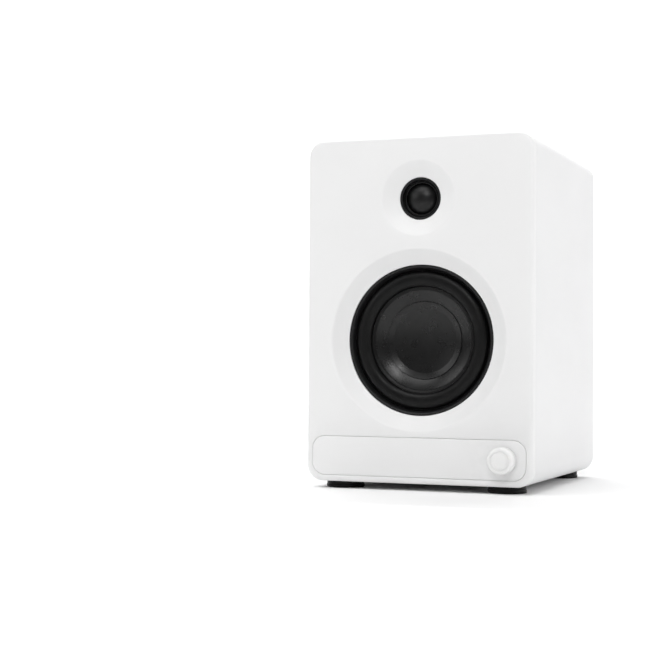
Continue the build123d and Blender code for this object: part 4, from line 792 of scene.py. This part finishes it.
def volume_knob():
    """Turned knob: a softly rounded rim, a fine groove round the inset face and a hollow back."""
    radius = (knob_high.x - knob_low.x) / 2
    front = knob_low.y - FRONT
    back = knob_high.y - FRONT
    outline = [(NEAR_AXIS, front + KNOB_FACE_MIDDLE)]
    outline += edge_points(KNOB_FACE_RADIUS, front, KNOB_FACE_CROWN + KNOB_FACE_EDGE)
    outline += edge_points(radius, front, KNOB_RIM)
    outline += [
        (radius, back - KNOB_BACK_CHAMFER),
        (radius - KNOB_BACK_CHAMFER, back),
        (radius - KNOB_WALL, back),
        (radius - KNOB_WALL, front + KNOB_HOLLOW),
        (KNOB_BORE_RADIUS, front + KNOB_HOLLOW),
        (KNOB_BORE_RADIUS, front + KNOB_BORE_FLOOR),
        (NEAR_AXIS, front + KNOB_BORE_FLOOR),
    ]
    mesh = turned_mesh("knob_turned", outline, [KNOB], steps=SMALL_TURN_STEPS)
    rigid_piece("knob_turned", mesh, "volume_knob", "knob", KNOB_SHARP)


# ---------------------------------------------------------------- woofer
ROLL_OUTER = 43.2 * MM
ROLL_INNER = 33.2 * MM
ROLL_RISE = 4.2 * MM
ROLL_STEPS = 18
RUBBER = 0.8 * MM
LIP_FRONT = 11.0 * MM
LIP_BACK = LIP_FRONT + RUBBER
LIP_OUTER = 46.8 * MM
LIP_FLAT = 0.5 * MM
CONE_LIP = 31.4 * MM
CONE_LIP_TAPER = ((-1.3, -0.68), (-0.9, -0.4), (-0.15, -0.08), (0, 0))
RING_WIDTH = 3.3 * MM
RING_CROWN = ((0, 0.55), (0.16, 0.2), (0.5, 0.02), (0.95, 0), (1.35, 0.14), (1.65, 0.5))
RING_SLOPE = ((2.3, 1.9), (2.9, 3.4))
CONE_MIDDLE = (24.7 * MM, 14.9 * MM)
CONE_NECK = (12.85 * MM, 25.2 * MM)
CONE_WALL = 0.5 * MM
CONE_STEPS = 28
CAP_RADIUS = 24.5 * MM
CAP_DEPTH = 14.7 * MM
CAP_DISH = 5.2 * MM
CAP_WALL = 0.5 * MM
CAP_STEPS = 32
CAP_FACE_INSET = 0.3 * MM
CAP_EDGE = ((0.24, 0.06), (0.2, 0.25), (0.3, 0.75), (1.2, 0.95))
SPIDER_INNER = 13.0 * MM
SPIDER_OUTER = 33.3 * MM
WAVES_START = 15.5 * MM
WAVES_END = 30.0 * MM
WAVE_COUNT = 3
WAVE_HEIGHT = 0.75 * MM
WAVE_STEPS = 72
SPIDER_DEPTH = 28.9 * MM
SPIDER_CLOTH = 0.5 * MM
SPIDER_TURN_STEPS = 120


def roll_profile(outer, inner, front, rise, steps):
    """Half roll between two radii, as (radius, depth) points from the outside in."""
    middle = (outer + inner) / 2
    half = (outer - inner) / 2
    points = []
    for i in range(steps + 1):
        angle = math.pi * i / steps
        points.append((middle + half * math.cos(angle), front - rise * math.sin(angle) ** 0.8))
    return points


def woofer_surround():
    """Rubber half roll with its two glued lips."""
    front = roll_profile(ROLL_OUTER, ROLL_INNER, LIP_FRONT, ROLL_RISE, ROLL_STEPS)
    back = roll_profile(ROLL_OUTER - RUBBER, ROLL_INNER + RUBBER, LIP_BACK, ROLL_RISE, ROLL_STEPS)
    outline = [(LIP_OUTER, LIP_FRONT), (ROLL_OUTER + LIP_FLAT, LIP_FRONT)] + front
    outline += edge_points(CONE_LIP, LIP_BACK, CONE_LIP_TAPER)
    outline += back[::-1] + [(LIP_OUTER, LIP_BACK)]
    mesh = turned_mesh("surround_roll", outline, [WOOFER])
    flexing_piece("surround_roll", mesh, "woofer_surround")


def woofer_ring():
    """Slim moulded ring that hides the surround's outer lip and slopes down to it."""
    front = ring_low.y - FRONT
    back = ring_high.y - FRONT
    outline = [(LIP_OUTER, back)]
    outline += edge_points(LIP_OUTER, front, RING_CROWN + RING_SLOPE)
    outline.append((LIP_OUTER - RING_WIDTH, back))
    mesh = turned_mesh("ring_slope", outline, [WOOFER])
    rigid_piece("ring_slope", mesh, "woofer_trim_ring", "cabinet", TURNED_SHARP)


def woofer_cone():
    """Pressed paper cone, with its turned rim under the surround and its neck on the former."""
    front = arc_points((CONE_LIP, LIP_BACK), CONE_MIDDLE, CONE_NECK, CONE_STEPS)
    back = [(radius + CONE_WALL, depth + CONE_WALL) for radius, depth in reversed(front)]
    neck_radius, neck_depth = CONE_NECK
    outline = [(ROLL_INNER, LIP_BACK)] + front + [(neck_radius, neck_depth + 2 * CONE_WALL)] + back
    outline.append((ROLL_INNER, LIP_BACK + CONE_WALL))
    mesh = turned_mesh("cone_paper", outline, [WOOFER])
    rigid_piece("cone_paper", mesh, "woofer_cone", "woofer_moving", TURNED_SHARP)


def dust_cap():
    """Inverted cap: a shallow dish whose rolled edge leaves a fine line on the cone."""
    face_radius = CAP_RADIUS - CAP_FACE_INSET
    sphere = (face_radius**2 + CAP_DISH**2) / (2 * CAP_DISH)
    outline = []
    for i in range(CAP_STEPS + 1):
        across = face_radius * i / CAP_STEPS
        sag = sphere - math.sqrt(sphere**2 - across**2)
        outline.append((max(across, NEAR_AXIS), CAP_DEPTH + CAP_DISH - sag))
    outline += edge_points(CAP_RADIUS, CAP_DEPTH, CAP_EDGE)
    outline.append((NEAR_AXIS, CAP_DEPTH + CAP_DISH + CAP_WALL))
    mesh = turned_mesh("cap_dish", outline, [WOOFER])
    rigid_piece("cap_dish", mesh, "woofer_dust_cap", "woofer_moving", TURNED_SHARP)


def woofer_spider():
    """Corrugated cloth ring that keeps the voice coil centred."""
    front = [(SPIDER_INNER, SPIDER_DEPTH)]
    for i in range(WAVE_STEPS + 1):
        t = i / WAVE_STEPS
        radius = WAVES_START + (WAVES_END - WAVES_START) * t
        front.append((radius, SPIDER_DEPTH - WAVE_HEIGHT * math.sin(2 * math.pi * WAVE_COUNT * t)))
    front.append((SPIDER_OUTER, SPIDER_DEPTH))
    back = [(radius, depth + SPIDER_CLOTH) for radius, depth in reversed(front)]
    mesh = turned_mesh("spider_rings", front + back, [WOOFER], steps=SPIDER_TURN_STEPS)
    flexing_piece("spider_rings", mesh, "woofer_spider")


# ---------------------------------------------------------------- tweeter
DOME_RADIUS = 9.8 * MM
DOME_BASE = 8.6 * MM
DOME_RISE = 4.3 * MM
DOME_WALL = 0.3 * MM
DOME_RIM_WALL = 0.7  # of the wall, at the dome's rim
DOME_STEPS = 30
SKIRT_BACK = 13.2 * MM
DOME_ROLL_SEAT = 11.75 * MM
DOME_ROLL_OUTER = 11.0 * MM
DOME_ROLL_INNER = 9.82 * MM
DOME_ROLL_RISE = 0.5 * MM
DOME_ROLL_BACK_RISE = 0.4 * MM
DOME_ROLL_FRONT = 8.3 * MM
DOME_ROLL_STEPS = 10
TWEETER_TURN_STEPS = 144


def tweeter_surround():
    """Narrow roll between the dome and its housing."""
    radii = (DOME_ROLL_OUTER, DOME_ROLL_INNER)
    front = roll_profile(*radii, DOME_ROLL_FRONT, DOME_ROLL_RISE, DOME_ROLL_STEPS)
    back = roll_profile(*radii, DOME_BASE, DOME_ROLL_BACK_RISE, DOME_ROLL_STEPS)
    outline = [(DOME_ROLL_SEAT, DOME_ROLL_FRONT)] + front + back[::-1] + [(DOME_ROLL_SEAT, DOME_BASE)]
    mesh = turned_mesh("dome_roll", outline, [TWEETER], steps=TWEETER_TURN_STEPS)
    flexing_piece("dome_roll", mesh, "tweeter_surround")


def tweeter_dome():
    """Pressed silk dome and the skirt that carries its coil."""
    sphere = (DOME_RADIUS**2 + DOME_RISE**2) / (2 * DOME_RISE)
    outer, inner = [], []
    for i in range(DOME_STEPS + 1):
        share = i / DOME_STEPS
        across = DOME_RADIUS * share
        depth = DOME_BASE - DOME_RISE + sphere - math.sqrt(sphere**2 - across**2)
        wall = DOME_WALL * (1 - (1 - DOME_RIM_WALL) * share)
        outer.append((max(across, NEAR_AXIS), depth))
        inner.append((max(across - DOME_WALL * share, NEAR_AXIS), depth + wall))
    outline = outer + [(DOME_RADIUS, SKIRT_BACK), (DOME_RADIUS - DOME_WALL, SKIRT_BACK)] + inner[::-1]
    mesh = turned_mesh("dome_silk", outline, [TWEETER], steps=TWEETER_TURN_STEPS)
    rigid_piece("dome_silk", mesh, "tweeter_dome", "tweeter_moving", TURNED_SHARP)


# ---------------------------------------------------------------- feet and lining
FOOT_RADIUS = 12.0 * MM
FOOT_TREAD = ((0.9, 0), (0.35, 0.12), (0, 0.5))
FOOT_RIDGE = ((0, 1.95), (0.12, 2.1), (0.4, 2.22), (0.4, 2.5), (0.28, 2.65))
FOOT_TOP_EDGE = ((0.28, -0.25), (0.5, 0))
LINING_THICK = 8.0 * MM
LINING_COLUMNS = 60
LINING_ROWS = 40
QUILT_PITCH = 6  # columns or rows between two stitch lines
QUILT_LOW = 0.62  # of the thickness, on a stitch line
QUILT_SWELL = 0.36
EDGE_LOFT = 0.6  # of the thickness further in, along the free edges
WOBBLE = 0.4 * MM
WOBBLE_SCALE = 0.9
WOBBLE_PLACE = 3.1
TOP_LEG = 1
SIDE_MITRE = 0.1  # of a side's length, where the lining turns into the top
TOP_MITRE = 0.85  # of half the top's width, beyond which its inner face slants to the corner


def feet():
    """Four rubber feet with a rounded tread and a step half way up."""
    low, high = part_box("rubber_feet")
    outline = [(NEAR_AXIS, 0)]
    outline += edge_points(FOOT_RADIUS, 0, FOOT_TREAD + FOOT_RIDGE)
    outline += edge_points(FOOT_RADIUS, high.z, FOOT_TOP_EDGE)
    outline.append((NEAR_AXIS, high.z))
    across = (low.x + FOOT_RADIUS, high.x - FOOT_RADIUS)
    along = (low.y + FOOT_RADIUS, high.y - FOOT_RADIUS)
    centers = [(x, y, 0) for x in across for y in along]
    mesh = turned_mesh("feet_turned", outline, centers, upright=True, steps=SMALL_TURN_STEPS)
    rigid_piece("feet_turned", mesh, "rubber_feet", "cabinet", FOOT_SHARP)


def lining_push(leg, share):
    """Inward direction at this share of a leg, mitred where the sides meet the top."""
    if leg == TOP_LEG:
        across = 1 - 2 * share
        return Vector((across if abs(across) > TOP_MITRE else 0.0, -1))
    inward, near_top = (1, share) if leg < TOP_LEG else (-1, 1 - share)
    return Vector((inward, -max(0.0, near_top - 1 + SIDE_MITRE) / SIDE_MITRE))


def lining_loft(i, j):
    """Thickness of the wadding at this column and row: quilted, pinched at its edges and uneven."""
    quilt = abs(math.sin(math.pi * i / QUILT_PITCH) * math.sin(math.pi * j / QUILT_PITCH)) ** 0.5
    inside = 0 < j < LINING_ROWS and 0 < i < LINING_COLUMNS
    loft = LINING_THICK * (QUILT_LOW + QUILT_SWELL * quilt) * (1 if inside else EDGE_LOFT)
    wobble = WOBBLE * noise.noise(Vector((i * WOBBLE_SCALE, j * WOBBLE_SCALE, WOBBLE_PLACE)))
    return min(LINING_THICK, loft + wobble)


def damping_lining():
    """Quilted wadding that lines the top and both sides of the cabinet."""
    low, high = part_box("damping_lining")
    corners = ((low.x, low.z), (low.x, high.z), (high.x, high.z), (high.x, low.z))
    path = [Vector(corner) for corner in corners]
    lengths = [(b - a).length for a, b in zip(path, path[1:])]
    bm = bmesh.new()
    rings = []
    for i in range(LINING_COLUMNS + 1):
        along = sum(lengths) * i / LINING_COLUMNS
        leg = 0
        while leg < len(lengths) - 1 and along > lengths[leg]:
            along -= lengths[leg]
            leg += 1
        share = along / lengths[leg]
        point = path[leg].lerp(path[leg + 1], share)
        push = lining_push(leg, share)
        outside, inside = [], []
        for j in range(LINING_ROWS + 1):
            y = low.y + (high.y - low.y) * j / LINING_ROWS
            inner = point + push * lining_loft(i, j)
            outside.append(bm.verts.new((point.x, y, point.y)))
            inside.append(bm.verts.new((inner.x, y, inner.y)))
        rings.append(outside + inside[::-1])
    bridge_all(bm, rings)
    for ring in (rings[0], rings[-1]):
        for j in range(LINING_ROWS):
            bm.faces.new((ring[j], ring[j + 1], ring[-j - 2], ring[-j - 1]))
    mesh = mesh_from(bm, "wadding_quilt")
    piece = rigid_piece("wadding_quilt", mesh, "damping_lining", "cabinet", LINING_SHARP)


make_materials()
dress_cad_nodes()
front_baffle()
cabinet_wrap()
trim_panel()
volume_knob()
woofer_surround()
woofer_ring()
woofer_cone()
dust_cap()
woofer_spider()
tweeter_surround()
tweeter_dome()
feet()
damping_lining()
add_floor()
add_lights()
add_camera()
